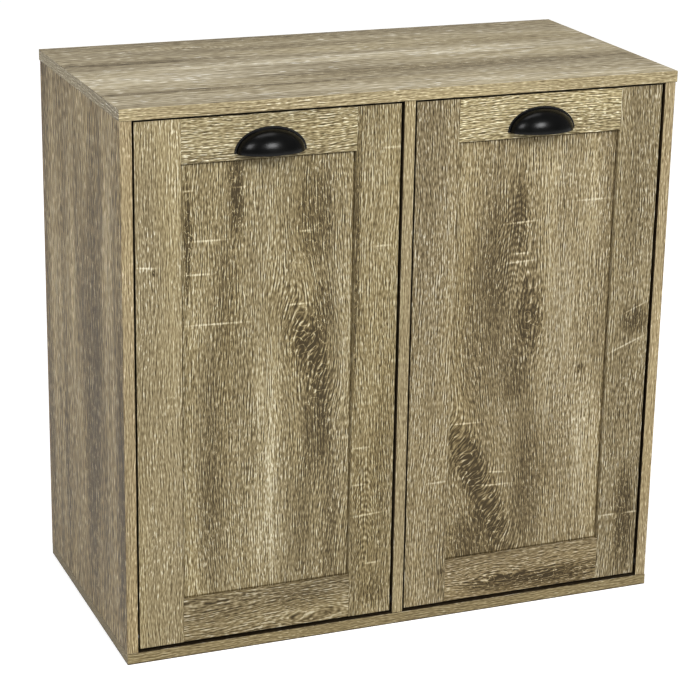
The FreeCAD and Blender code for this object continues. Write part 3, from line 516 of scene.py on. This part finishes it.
def door_oak(name, *print_settings, **marks):
    """The print on one piece of a door, with painted shade on the edges that face the gap round the door."""
    oak = oak_print(name + "_oak", *print_settings, **marks)
    hand = name.split("_")[0]
    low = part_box(hand + "_door_left_stile")[0]
    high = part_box(hand + "_door_right_stile")[1]
    skin = Vector((EDGE_SKIN, 0.0, EDGE_SKIN))
    inside = oak.within(low + skin, high - skin)
    face = oak.facing(oak.split("Normal")[1])
    # Painted shade on the door's edges facing the gap, where the gap lies in shadow.
    oak.stain(oak.inverse(inside) * oak.inverse(face), PAINTED_GAP_SHADE)
    oak.dress(name)
    return oak


LEFT_PANEL_KNOTS = (
    (-0.132, 0.405, 0.024, 0.050, -0.30, 0.50),
)
LEFT_PANEL_SMUDGES = (
    (-0.228, 0.622, 0.009, 0.050, 0.00, 0.48),
    (-0.293, 0.564, 0.004, 0.070, 0.00, 0.54),
    (-0.239, 0.481, 0.016, 0.066, 0.00, 0.21),
    (-0.250, 0.348, 0.019, 0.082, 0.00, 0.13),
    (-0.261, 0.184, 0.016, 0.085, 0.00, 0.12),
    (-0.124, 0.581, 0.024, 0.060, 0.00, 0.34),
    (-0.112, 0.454, 0.014, 0.040, 0.00, 0.33),
    (-0.116, 0.305, 0.016, 0.070, 0.00, 0.36),
    (-0.137, 0.195, 0.010, 0.086, 0.00, 0.12),
    (-0.097, 0.161, 0.010, 0.087, 0.00, 0.15),
    (-0.195, 0.562, 0.016, 0.079, 0.00, -0.06),
    (-0.185, 0.340, 0.019, 0.083, 0.00, -0.18),
    (-0.184, 0.173, 0.020, 0.086, 0.00, -0.20),
    (-0.082, 0.465, 0.008, 0.123, 0.00, -0.05),
    (-0.150, 0.410, 0.050, 0.100, 0.00, 0.10),
    (-0.250, 0.590, 0.050, 0.080, 0.00, 0.08),
)
LEFT_PANEL_SCRATCHES = (
    (-0.268, 0.5605, 0.022, -0.02),
    (-0.279, 0.5175, 0.015, -0.03),
    (-0.255, 0.4505, 0.036, -0.03),
    (-0.146, 0.4660, 0.013, 0.00),
    (-0.136, 0.5620, 0.008, 0.00),
    (-0.225, 0.6260, 0.008, 0.00),
    (-0.292, 0.6260, 0.006, 0.00),
)
RIGHT_PANEL_KNOTS = (
    (0.181, 0.420, 0.020, 0.045, 0.00, 0.46),
    (0.113, 0.191, 0.024, 0.080, -0.48, 0.26),
)
RIGHT_PANEL_SMUDGES = (
    (0.164, 0.557, 0.011, 0.048, 0.00, 0.39),
    (0.166, 0.334, 0.015, 0.036, 0.00, 0.26),
    (0.112, 0.404, 0.037, 0.128, 0.00, 0.16),
    (0.098, 0.228, 0.020, 0.040, -0.30, 0.22),
    (0.130, 0.150, 0.020, 0.050, -0.40, 0.20),
    (0.109, 0.102, 0.038, 0.037, 0.00, 0.30),
    (0.196, 0.179, 0.021, 0.090, 0.00, 0.17),
    (0.137, 0.511, 0.017, 0.083, 0.00, 0.17),
    (0.231, 0.391, 0.027, 0.144, 0.00, -0.17),
    (0.270, 0.499, 0.018, 0.142, 0.00, -0.10),
    (0.278, 0.212, 0.022, 0.105, 0.00, -0.17),
    (0.233, 0.618, 0.037, 0.027, 0.00, -0.06),
    (0.265, 0.332, 0.005, 0.007, 0.00, 0.42),
    (0.130, 0.170, 0.060, 0.100, 0.00, 0.08),
)
RIGHT_PANEL_SCRATCHES = (
    (0.166, 0.5465, 0.021, 0.03),
    (0.166, 0.4925, 0.018, 0.03),
    (0.168, 0.5040, 0.009, 0.00),
    (0.269, 0.5690, 0.018, 0.00),
    (0.095, 0.2735, 0.018, -0.03),
    (0.140, 0.1795, 0.022, -0.03),
    (0.144, 0.1980, 0.012, -0.10),
)
RIGHT_PANEL_ARCHES = (
    (0.160, 0.598, 60.0, 0.200),
)
RECESS_SHADE_WIDTH = 0.0024
RECESS_SHADE_TINT = (0.40, 0.37, 0.31)


def panel_oak(hand, *print_settings):
    """The print on a panel, with a line of painted shade round its edge, in the recess where it meets its
    frame.
    """
    oak = door_oak(hand + "_door_panel", "upright", *print_settings)
    low = Vector((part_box(hand + "_door_left_stile")[1].x, -1.0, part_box(hand + "_door_bottom_rail")[1].z))
    high = Vector((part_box(hand + "_door_right_stile")[0].x, 1.0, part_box(hand + "_door_top_rail")[0].z))
    line = Vector((RECESS_SHADE_WIDTH, 0.0, RECESS_SHADE_WIDTH))
    # Painted shade: a narrow band round the panel's edge is darkened for the shadow of the frame in the
    # recess.
    oak.stain(oak.inverse(oak.within(low + line, high - line)), RECESS_SHADE_TINT)


panel_oak("left", 71.0, (0.94, 0.93, 0.87), LEFT_PANEL_KNOTS, LEFT_PANEL_SMUDGES, LEFT_PANEL_SCRATCHES)
panel_oak("right", 83.0, (0.91, 0.885, 0.825), RIGHT_PANEL_KNOTS, RIGHT_PANEL_SMUDGES, RIGHT_PANEL_SCRATCHES,
          RIGHT_PANEL_ARCHES)

OUTER_LEFT_STILE_SMUDGES = (
    (-0.337, 0.527, 0.003, 0.004, 0.00, 0.52),
)
OUTER_LEFT_STILE_SCRATCHES = (
    (-0.349, 0.534, 0.011, -0.10),
)
INNER_LEFT_STILE_ARCHES = (
    (-0.053, 0.250, 130.0, 0.200),
)
INNER_LEFT_STILE_SMUDGES = (
    (-0.067, 0.532, 0.003, 0.162, 0.00, 0.36),
    (-0.036, 0.050, 0.015, 0.018, 0.00, 0.18),
    (-0.025, 0.351, 0.011, 0.170, 0.00, 0.14),
    (-0.045, 0.170, 0.025, 0.120, 0.00, 0.16),
    (-0.045, 0.600, 0.025, 0.120, 0.00, -0.05),
)
INNER_LEFT_STILE_SCRATCHES = (
    (-0.031, 0.5345, 0.010, 0.00),
    (-0.025, 0.6630, 0.009, 0.00),
    (-0.048, 0.1640, 0.022, 0.05),
    (-0.057, 0.2600, 0.010, 0.00),
    (-0.059, 0.2080, 0.010, 0.00),
    (-0.039, 0.0935, 0.008, 0.00),
)
INNER_RIGHT_STILE_SMUDGES = (
    (0.062, 0.063, 0.005, 0.006, 0.00, 0.45),
)
INNER_RIGHT_STILE_SCRATCHES = (
    (0.053, 0.196, 0.012, 0.00),
)
OUTER_RIGHT_STILE_SMUDGES = (
    (0.344, 0.398, 0.020, 0.020, 0.00, 0.36),
    (0.340, 0.102, 0.014, 0.070, 0.00, 0.42),
    (0.333, 0.632, 0.015, 0.083, 0.00, 0.05),
    (0.326, 0.509, 0.018, 0.085, 0.00, 0.05),
    (0.334, 0.250, 0.030, 0.130, 0.00, 0.06),
)
OUTER_RIGHT_STILE_SCRATCHES = (
    (0.340, 0.4130, 0.014, 0.40),
    (0.330, 0.3620, 0.024, 0.38),
    (0.317, 0.1130, 0.011, 0.00),
    (0.352, 0.1125, 0.011, 0.00),
)
door_oak("left_door_left_stile", "upright", 97.0, (1.04, 1.04, 1.01), (), OUTER_LEFT_STILE_SMUDGES,
         OUTER_LEFT_STILE_SCRATCHES, front=(0.70, 0.70))
door_oak("left_door_right_stile", "upright", 103.0, (0.83, 0.81, 0.73), (), INNER_LEFT_STILE_SMUDGES,
         INNER_LEFT_STILE_SCRATCHES, INNER_LEFT_STILE_ARCHES)
door_oak("right_door_left_stile", "upright", 109.0, (0.84, 0.82, 0.78), (), INNER_RIGHT_STILE_SMUDGES,
         INNER_RIGHT_STILE_SCRATCHES)
door_oak("right_door_right_stile", "upright", 127.0, (0.81, 0.795, 0.76), (), OUTER_RIGHT_STILE_SMUDGES,
         OUTER_RIGHT_STILE_SCRATCHES)

LEFT_BOTTOM_RAIL_KNOTS = (
    (0.030, -0.118, 0.010, 0.040, 0.00, 0.04),
    (0.070, -0.290, 0.012, 0.045, 0.00, 0.03),
)
LEFT_BOTTOM_RAIL_SMUDGES = (
    (0.057, -0.140, 0.012, 0.043, 0.00, 0.21),
    (0.052, -0.238, 0.012, 0.042, 0.00, 0.11),
)
RIGHT_BOTTOM_RAIL_KNOTS = (
    (0.044, 0.168, 0.008, 0.030, 0.00, 0.10),
)
RIGHT_BOTTOM_RAIL_SMUDGES = (
    (0.036, 0.165, 0.012, 0.060, 0.00, 0.42),
    (0.036, 0.255, 0.012, 0.060, 0.00, 0.40),
)
RIGHT_BOTTOM_RAIL_SCRATCHES = (
    (0.052, 0.173, 0.0022, 0.00),
    (0.041, 0.240, 0.0022, 0.00),
    (0.042, 0.171, 0.0015, 0.00),
)
LEFT_TOP_RAIL_SMUDGES = (
    (0.690, -0.110, 0.030, 0.060, 0.00, 0.05),
    (0.690, -0.270, 0.030, 0.060, 0.00, -0.03),
)
door_oak("left_door_top_rail", "level", 131.0, (1.15, 1.17, 1.12), (), LEFT_TOP_RAIL_SMUDGES)
door_oak("right_door_top_rail", "level", 137.0, (1.23, 1.24, 1.15))
door_oak("left_door_bottom_rail", "level", 139.0, (0.76, 0.74, 0.69), LEFT_BOTTOM_RAIL_KNOTS,
         LEFT_BOTTOM_RAIL_SMUDGES)
door_oak("right_door_bottom_rail", "level", 149.0, (0.82, 0.78, 0.72), RIGHT_BOTTOM_RAIL_KNOTS,
         RIGHT_BOTTOM_RAIL_SMUDGES, RIGHT_BOTTOM_RAIL_SCRATCHES)


# Cup pulls. Die-cast half domes, open below for the fingers, with a satin black coat that has a faint pebble.
# Two screws from behind the top rail hold each one.

def satin_black():
    coat = Finish("satin_black", {"Specular IOR Level": 0.17})
    x, y, z = coat.split("Object")
    haze = coat.mottle(x * 70.0, y * 70.0, z * 70.0, 3.0)
    pebble = coat.mottle(x * 1800.0, y * 1800.0, z * 1800.0, 2.0)
    coat.colours(haze, ((0.3, (0.0010, 0.0010, 0.0010)), (0.7, (0.0025, 0.0025, 0.0023))))
    coat.gloss((haze - 0.5) * 0.10 + pebble * 0.04 + 0.21)
    coat.relief(pebble, 0.00006, 0.5)
    return coat


satin_black().dress("left_cup_pull", "right_cup_pull")
zinc.dress("left_pull_screws", "right_pull_screws")


# Pins, stays and strikes. Each door turns on two steel pins, is stopped by two slotted steel quadrants and is
# held shut by a steel strike on the back of its top rail. All are zinc plated. The stays and strikes are
# screwed on, and the pins sit in holes in the door's edges.

for hand in ("left", "right"):
    zinc.dress(hand + "_pivot_pins", hand + "_tilt_stays", hand + "_stay_screws")
    zinc.dress(hand + "_strike_plate", hand + "_strike_screws")


# Bag frames. Bent and welded wire with flat pads, plated bright. Six screws hold each one to the back of its
# door, and the bag hangs on it.

frame_wire = bare_metal("bright_wire", (0.55, 0.56, 0.57), (0.78, 0.78, 0.77), 0.18, 0.25)
for hand in ("left", "right"):
    frame_wire.dress(hand + "_bag_frame")
    zinc.dress(hand + "_bag_frame_screws")


# Laundry bags. Natural cotton canvas sewn to a deep open box that sags a little, hung on each wire frame by a
# hem that is folded out over the wires, stitched shut below them and slit at the front corners for the arms.

bag_low, bag_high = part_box("left_laundry_bag")
CANVAS = 0.0012
HEM_FOLD = 0.00405
HEM_SKIN = 0.00075
HEM_DROP = 0.028
SHOULDER = 0.040
SIDE_TAPER = 0.006
FRONT_TAPER = 0.006
REAR_TAPER = 0.014
FRONT_CORNER = 0.008
REAR_CORNER = 0.030
FLOOR_CORNER = 0.040
LEAST_CORNER = 0.002
FLOOR_ROUND = 0.030
FLOOR_SAG = 0.014
FOLD_DEPTH = 0.0045
SIDE_STEPS = 26
CORNER_STEPS = 6
FOLD_STEPS = 8
WALL_STEPS = 34
ROUND_STEPS = 5
FLOOR_STEPS = 12
hem_out = HEM_FOLD + HEM_SKIN
wire_x = (bag_high.x - bag_low.x) / 2 - hem_out
wire_front = bag_low.y + hem_out
wire_rear = bag_high.y - hem_out
wire_z = bag_high.z - hem_out
middle_y = (wire_front + wire_rear) / 2
floor_z = bag_low.z + FLOOR_SAG
hem_closed = -HEM_FOLD + CANVAS * 1.1
HEM_SHAPE = ((1.0, hem_closed), (0.85, hem_closed), (0.7, hem_closed), (0.5, 0.0), (0.3, HEM_FOLD * 0.85))


def bag_ring(out, z, taper=0.0, shrink=1.0):
    """One level ring of the bag, out from the wires, as points in order from the front left corner."""
    half = wire_x + out - SIDE_TAPER * taper
    front = wire_front - out + FRONT_TAPER * taper
    rear = wire_rear + out - REAR_TAPER * taper
    front_corner = max(FRONT_CORNER + out, LEAST_CORNER) * (1 - taper) + FLOOR_CORNER * taper
    rear_corner = (REAR_CORNER + out) * (1 - taper) + FLOOR_CORNER * taper
    corners = ((-half, front, 1, 1, front_corner), (half, front, -1, 1, front_corner),
               (half, rear, -1, -1, rear_corner), (-half, rear, 1, -1, rear_corner))
    arcs = []
    for number, (x, y, inward_x, inward_y, radius) in enumerate(corners):
        centre = Vector((x + inward_x * radius, y + inward_y * radius, z))
        start = math.pi + number * math.pi / 2
        turns = [start + step / CORNER_STEPS * math.pi / 2 for step in range(CORNER_STEPS + 1)]
        arcs.append([centre + Vector((math.cos(turn), math.sin(turn), 0.0)) * radius for turn in turns])
    points = []
    for number, arc in enumerate(arcs):
        following = arcs[(number + 1) % len(arcs)][0]
        points += arc
        points += [arc[-1].lerp(following, step / SIDE_STEPS) for step in range(1, SIDE_STEPS)]
    middle = Vector((0.0, (front + rear) / 2, z))
    return [middle + (point - middle) * shrink for point in points]


def bag_rings():
    """The rings from the hem's lower edge, up, over the wires, down the wall and in to the floor's middle."""
    rings = []
    for drop, out in HEM_SHAPE:
        rings.append(bag_ring(out, wire_z - HEM_DROP * drop))
    for step in range(FOLD_STEPS + 1):
        turn = math.pi * step / FOLD_STEPS
        rings.append(bag_ring(HEM_FOLD * math.cos(turn), wire_z + HEM_FOLD * math.sin(turn)))
    wall_end = floor_z + FLOOR_ROUND
    for step in range(1, WALL_STEPS + 1):
        z = wire_z + (wall_end - wire_z) * step / WALL_STEPS
        taper = max(0.0, (wire_z - SHOULDER - z) / (wire_z - SHOULDER - bag_low.z))
        rings.append(bag_ring(-HEM_FOLD, z, taper))
    for step in range(1, ROUND_STEPS + 1):
        turn = math.pi / 2 * step / ROUND_STEPS
        inward = FLOOR_ROUND * (1 - math.cos(turn))
        rings.append(bag_ring(-HEM_FOLD - inward, wall_end - FLOOR_ROUND * math.sin(turn), 1.0))
    for step in range(1, FLOOR_STEPS):
        rings.append(bag_ring(-HEM_FOLD - FLOOR_ROUND, floor_z, 1.0, 1 - step / FLOOR_STEPS))
    return rings


rings = bag_rings()
ring_size = len(rings[0])
hem_rings = len(HEM_SHAPE) + FOLD_STEPS + 1
pinned_rings = hem_rings + 2
floor_start = len(rings) - FLOOR_STEPS


def canvas_fullness(point, ring):
    """The slack in the canvas: soft upright folds in the walls, and a floor that hangs."""
    depth = min(max((wire_z - point.z) / (wire_z - bag_low.z), 0.0), 1.0)
    swell = math.sin(math.pi * min(depth * 1.1, 1.0))
    round_bag = math.atan2(point.x, point.y - middle_y)
    wave = math.sin(round_bag * 9.0 + 1.3) + 0.7 * math.sin(round_bag * 17.0 + depth * 3.0)
    inward = Vector((-point.x, middle_y - point.y, 0.0)).normalized()
    moved = point + inward * FOLD_DEPTH * swell * (1.2 + wave)
    if ring >= floor_start:
        reach = math.hypot(point.x / wire_x, (point.y - middle_y) / wire_rear)
        moved.z -= FLOOR_SAG * max(0.0, 1 - reach ** 2)
    return moved


def bag_shell():
    """The canvas as one open sheet of faces, with the hem slit at the two front corners."""
    shell = bmesh.new()
    rows = []
    for number, ring in enumerate(rings):
        slack = number >= pinned_rings
        rows.append([shell.verts.new(canvas_fullness(point, number) if slack else point) for point in ring])
    slit = set(range(CORNER_STEPS)) | set(range(CORNER_STEPS + SIDE_STEPS, 2 * CORNER_STEPS + SIDE_STEPS))
    for number in range(len(rows) - 1):
        for place in range(ring_size):
            if number < hem_rings - 1 and place in slit:
                continue
            beyond = (place + 1) % ring_size
            shell.faces.new((rows[number][place], rows[number][beyond], rows[number + 1][beyond],
                             rows[number + 1][place]))
    middle = shell.verts.new(sum((vert.co for vert in rows[-1]), Vector()) / ring_size)
    for place in range(ring_size):
        shell.faces.new((rows[-1][place], rows[-1][(place + 1) % ring_size], middle))
    mesh = bpy.data.meshes.new("bag_shell")
    shell.normal_update()
    shell.to_mesh(mesh)
    shell.free()
    return mesh


SETTLE_FRAMES = 24


def settle(mesh):
    """Lets the canvas hang from its hem under its own weight, and keeps it inside the wires. Real canvas
    hardly stretches, so the length it gains as it hangs is taken out again."""
    cloth_object = bpy.data.objects.new("hanging_canvas", mesh)
    bpy.context.collection.objects.link(cloth_object)
    held = cloth_object.vertex_groups.new(name="hem")
    held.add(list(range(pinned_rings * ring_size)), 1.0, "REPLACE")
    cloth = cloth_object.modifiers.new("hang", "CLOTH")
    cloth.settings.vertex_group_mass = "hem"
    cloth.settings.quality = 8
    cloth.settings.mass = 0.02
    cloth.settings.tension_stiffness = 200.0
    cloth.settings.compression_stiffness = 200.0
    cloth.settings.shear_stiffness = 60.0
    cloth.settings.bending_stiffness = 2.0
    cloth.settings.air_damping = 3.0
    cloth.point_cache.frame_start = 1
    cloth.point_cache.frame_end = SETTLE_FRAMES
    for number in range(1, SETTLE_FRAMES + 1):
        bpy.context.scene.frame_set(number)
    hanging = cloth_object.evaluated_get(bpy.context.evaluated_depsgraph_get())
    settled = bpy.data.meshes.new_from_object(hanging)
    bpy.context.scene.frame_set(1)
    bpy.data.objects.remove(cloth_object)
    loose = settled.vertices[pinned_rings * ring_size:]
    held_at = rings[pinned_rings - 1][0].z
    stretch = (held_at - min(vertex.co.z for vertex in loose)) / (held_at - bag_low.z)
    limit = wire_x - HEM_FOLD
    for vertex in loose:
        vertex.co.x = min(max(vertex.co.x, -limit), limit)
        vertex.co.y = min(max(vertex.co.y, wire_front + HEM_FOLD), wire_rear - HEM_FOLD)
        vertex.co.z = held_at + (vertex.co.z - held_at) / max(stretch, 1.0)
    return settled


canvas_mesh = bag_shell()
canvas_mesh = settle(canvas_mesh)


THREADS = 2 * math.pi * 700.0
CANVAS_COLOURS = (
    (0.10, (0.300, 0.260, 0.195)),
    (0.50, (0.600, 0.545, 0.440)),
    (0.90, (0.760, 0.715, 0.610)),
)


def canvas():
    """Unbleached cotton in a plain weave, with slubs, a few dark flecks and a little grey from handling."""
    cloth = Finish("canvas", {"Specular IOR Level": 0.15, "Sheen Weight": 0.15})
    x, y, z = cloth.split("Object")
    face_x, _, face_z = cloth.split("Normal")
    warp = cloth.pick(cloth.facing(face_x), x, y)
    weft = cloth.pick(cloth.facing(face_z), z, y)
    slub = cloth.mottle(warp * 40.0, weft * 900.0, 5.0, 2.0) - 0.5
    thick = cloth.mottle(warp * 900.0, weft * 40.0, 9.0, 2.0) - 0.5
    over = cloth.step("SINE", (warp + thick * 0.0003) * THREADS)
    under = cloth.step("SINE", (weft + slub * 0.0003) * THREADS)
    weave = over * under
    handled = cloth.mottle(x * 7.0, y * 7.0, z * 7.0, 3.0) - 0.5
    fleck = cloth.above(cloth.mottle(warp * 500.0, weft * 500.0, 21.0, 1.0), 0.72, 0.78)
    shade = weave * 0.10 + slub * 0.5 + thick * 0.4 + handled * 0.5 - fleck * 0.35 + 0.55
    cloth.colours(shade, CANVAS_COLOURS)
    cloth.gloss(weave * 0.05 + 0.85)
    cloth.relief(weave + slub + thick, 0.0004, 0.7)
    return cloth.material


canvas_material = canvas()
STITCH_LENGTH = 0.0034
STITCH_GAP = 0.0012
THREAD = 0.00035
STITCH_LIFT = CANVAS * 0.62


def stitches(name, path, out):
    """A row of sewn stitches along a path of points, each stood off along its own outward direction."""
    row = bmesh.new()
    shape = Matrix.Diagonal((STITCH_LENGTH / 2, THREAD, THREAD, 1.0))
    travelled = 0.0
    place = STITCH_GAP
    for start, end, lift, next_lift in zip(path, path[1:], out, out[1:]):
        length = (end - start).length
        lie = (end - start).to_track_quat("X", "Z").to_matrix().to_4x4()
        while place < travelled + length:
            share = (place - travelled) / length
            middle = start.lerp(end, share) + lift.lerp(next_lift, share).normalized() * STITCH_LIFT
            bmesh.ops.create_icosphere(row, subdivisions=2, radius=1.0,
                                       matrix=Matrix.Translation(middle) @ lie @ shape)
            place += STITCH_LENGTH + STITCH_GAP
        travelled += length
    mesh = bpy.data.meshes.new(name)
    row.to_mesh(mesh)
    row.free()
    for face in mesh.polygons:
        face.use_smooth = True
    return mesh


def thread():
    cotton = Finish("sewing_thread", {"Specular IOR Level": 0.2})
    x, y, z = cotton.split("Object")
    twist = cotton.mottle((x + y + z) * 2600.0, (x - y) * 900.0, z * 900.0, 2.0)
    cotton.colours(twist, ((0.3, (0.52, 0.47, 0.37)), (0.7, (0.74, 0.69, 0.58))))
    cotton.gloss(twist * 0.2 + 0.6)
    cotton.relief(twist, 0.0001, 0.5)
    return cotton.material


thread_material = thread()
points = [vertex.co.copy() for vertex in canvas_mesh.vertices]


def outward(path):
    """The level direction away from the middle of the bag at each point of a path."""
    return [Vector((point.x, point.y - middle_y, 0.0)).normalized() for point in path]


def ring_path(number, first, last):
    """Points and outward directions along one ring of the bag, from one place round to another."""
    path = [points[number * ring_size + place % ring_size] for place in range(first, last + 1)]
    return path, outward(path)


def column_path(place, first, last):
    """Points and outward directions down one column of the bag."""
    path = [points[number * ring_size + place % ring_size] for number in range(first, last + 1)]
    return path, outward(path)


front_first = CORNER_STEPS
front_last = CORNER_STEPS + SIDE_STEPS
rest_first = 2 * CORNER_STEPS + SIDE_STEPS
sewn = {
    "front_hem_stitches": stitches("front_hem_stitches", *ring_path(1, front_first, front_last)),
    "hem_stitches": stitches("hem_stitches", *ring_path(1, rest_first, ring_size)),
}
for corner in range(4):
    for beside in (-1, 1):
        place = corner * (CORNER_STEPS + SIDE_STEPS) + CORNER_STEPS // 2 + beside
        name = "corner_" + str(corner + 1) + ("_near" if beside < 0 else "_far") + "_stitches"
        sewn[name] = stitches(name, *column_path(place, pinned_rings, floor_start - 1))

for hand in ("left", "right"):
    low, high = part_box(hand + "_laundry_bag")
    hang = Vector(((low.x + high.x) / 2, 0.0, 0.0))
    bag = bpy.data.objects.new(hand + "_canvas_bag", canvas_mesh.copy())
    bag.data.transform(Matrix.Translation(hang))
    bag.data.materials.clear()
    bag.data.materials.append(canvas_material)
    for face in bag.data.polygons:
        face.use_smooth = True
    bpy.context.collection.objects.link(bag)
    thickness = bag.modifiers.new("canvas_thickness", "SOLIDIFY")
    thickness.thickness = CANVAS
    thickness.offset = 0.0
    for name, mesh in sewn.items():
        row = bpy.data.objects.new(hand + "_" + name, mesh.copy())
        row.data.transform(Matrix.Translation(hang))
        row.data.materials.append(thread_material)
        bpy.context.collection.objects.link(row)
        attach(row, hand + "_door")
    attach(bag, hand + "_door")
    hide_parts(hand + "_laundry_bag")


# Floor, light and camera. A plain pale floor, soft light from the front, the left and above, a white sky, and
# the camera where the photograph was taken from. The floor glows to the camera and in reflections alone, so
# that it reads white.

FLOOR_SHADE = (0.55, 0.55, 0.55, 1.0)
FLOOR_SEEN = (0.95, 0.95, 0.95, 1.0)
FLOOR_GLOW = 0.55
FLOOR_REACH = 14.0
SKY_STRENGTH = 0.32
WHITE = (1.0, 1.0, 1.0, 1.0)


def floor_paper():
    material = bpy.data.materials.new("pale_floor")
    material.use_nodes = True
    tree = material.node_tree
    paper = tree.nodes["Principled BSDF"]
    paper.inputs["Roughness"].default_value = 0.9
    paper.inputs["Specular IOR Level"].default_value = 0.0
    path = tree.nodes.new("ShaderNodeLightPath")
    seen = path.outputs["Is Camera Ray"]
    for output in ("Is Glossy Ray", "Is Transmission Ray"):
        either = tree.nodes.new("ShaderNodeMath")
        either.operation = "MAXIMUM"
        tree.links.new(seen, either.inputs[0])
        tree.links.new(path.outputs[output], either.inputs[1])
        seen = either.outputs[0]
    colour = tree.nodes.new("ShaderNodeMix")
    colour.data_type = "RGBA"
    colour.inputs["A"].default_value = FLOOR_SHADE
    colour.inputs["B"].default_value = FLOOR_SEEN
    tree.links.new(seen, colour.inputs["Factor"])
    tree.links.new(colour.outputs["Result"], paper.inputs["Base Color"])
    glow = tree.nodes.new("ShaderNodeMath")
    glow.operation = "MULTIPLY"
    tree.links.new(seen, glow.inputs[0])
    glow.inputs[1].default_value = FLOOR_GLOW
    paper.inputs["Emission Color"].default_value = WHITE
    tree.links.new(glow.outputs[0], paper.inputs["Emission Strength"])
    return material


def pale_floor():
    mesh = bpy.data.meshes.new("floor")
    corners = [(x * FLOOR_REACH, y * FLOOR_REACH, 0.0) for x, y in ((-1, -1), (1, -1), (1, 1), (-1, 1))]
    mesh.from_pydata(corners, [], [(0, 1, 2, 3)])
    mesh.materials.append(floor_paper())
    floor = bpy.data.objects.new("floor", mesh)
    bpy.context.collection.objects.link(floor)


def soft_lamp(name, place, aim, size, power):
    lamp = bpy.data.lights.new(name, "AREA")
    lamp.size = size
    lamp.energy = power
    lamp_object = bpy.data.objects.new(name, lamp)
    lamp_object.location = place
    lamp_object.rotation_euler = (Vector(aim) - Vector(place)).to_track_quat("-Z", "Y").to_euler()
    bpy.context.collection.objects.link(lamp_object)


pale_floor()
sky = bpy.data.worlds.new("sky")
sky.use_nodes = True
sky.node_tree.nodes["Background"].inputs["Color"].default_value = WHITE
sky.node_tree.nodes["Background"].inputs["Strength"].default_value = SKY_STRENGTH
bpy.context.scene.world = sky
soft_lamp("front_lamp", place=(1.26, -7.0, 4.8), aim=(0.0, 0.0, 0.5), size=2.4, power=390.0)
soft_lamp("left_lamp", place=(-5.2, -3.8, 5.2), aim=(0.0, 0.0, 0.5), size=2.6, power=225.0)
soft_lamp("top_lamp", place=(0.0, 0.3, 3.4), aim=(0.0, 0.0, 0.7), size=1.6, power=22.0)
bpy.context.scene.view_settings.view_transform = "Standard"

CAMERA_AIM = Vector((-0.01518, 0.0, 0.34862))
CAMERA_AZIMUTH = math.radians(-21.816)
CAMERA_ELEVATION = math.radians(18.528)
CAMERA_ROLL = 0.01716
CAMERA_DISTANCE = 3.15003
CAMERA_SENSOR = 36.0
CAMERA_LENS = 121.11

turn = Euler((math.pi / 2 - CAMERA_ELEVATION, 0.0, CAMERA_AZIMUTH)).to_matrix()
turn = turn @ Matrix.Rotation(CAMERA_ROLL, 3, "Z")
lens = bpy.data.cameras.new("photo_camera")
lens.sensor_width = CAMERA_SENSOR
lens.lens = CAMERA_LENS
camera = bpy.data.objects.new("photo_camera", lens)
back = Vector((math.sin(CAMERA_AZIMUTH) * math.cos(CAMERA_ELEVATION),
               -math.cos(CAMERA_AZIMUTH) * math.cos(CAMERA_ELEVATION), math.sin(CAMERA_ELEVATION)))
camera.matrix_world = Matrix.Translation(CAMERA_AIM + back * CAMERA_DISTANCE) @ turn.to_4x4()
bpy.context.collection.objects.link(camera)
bpy.context.scene.camera = camera
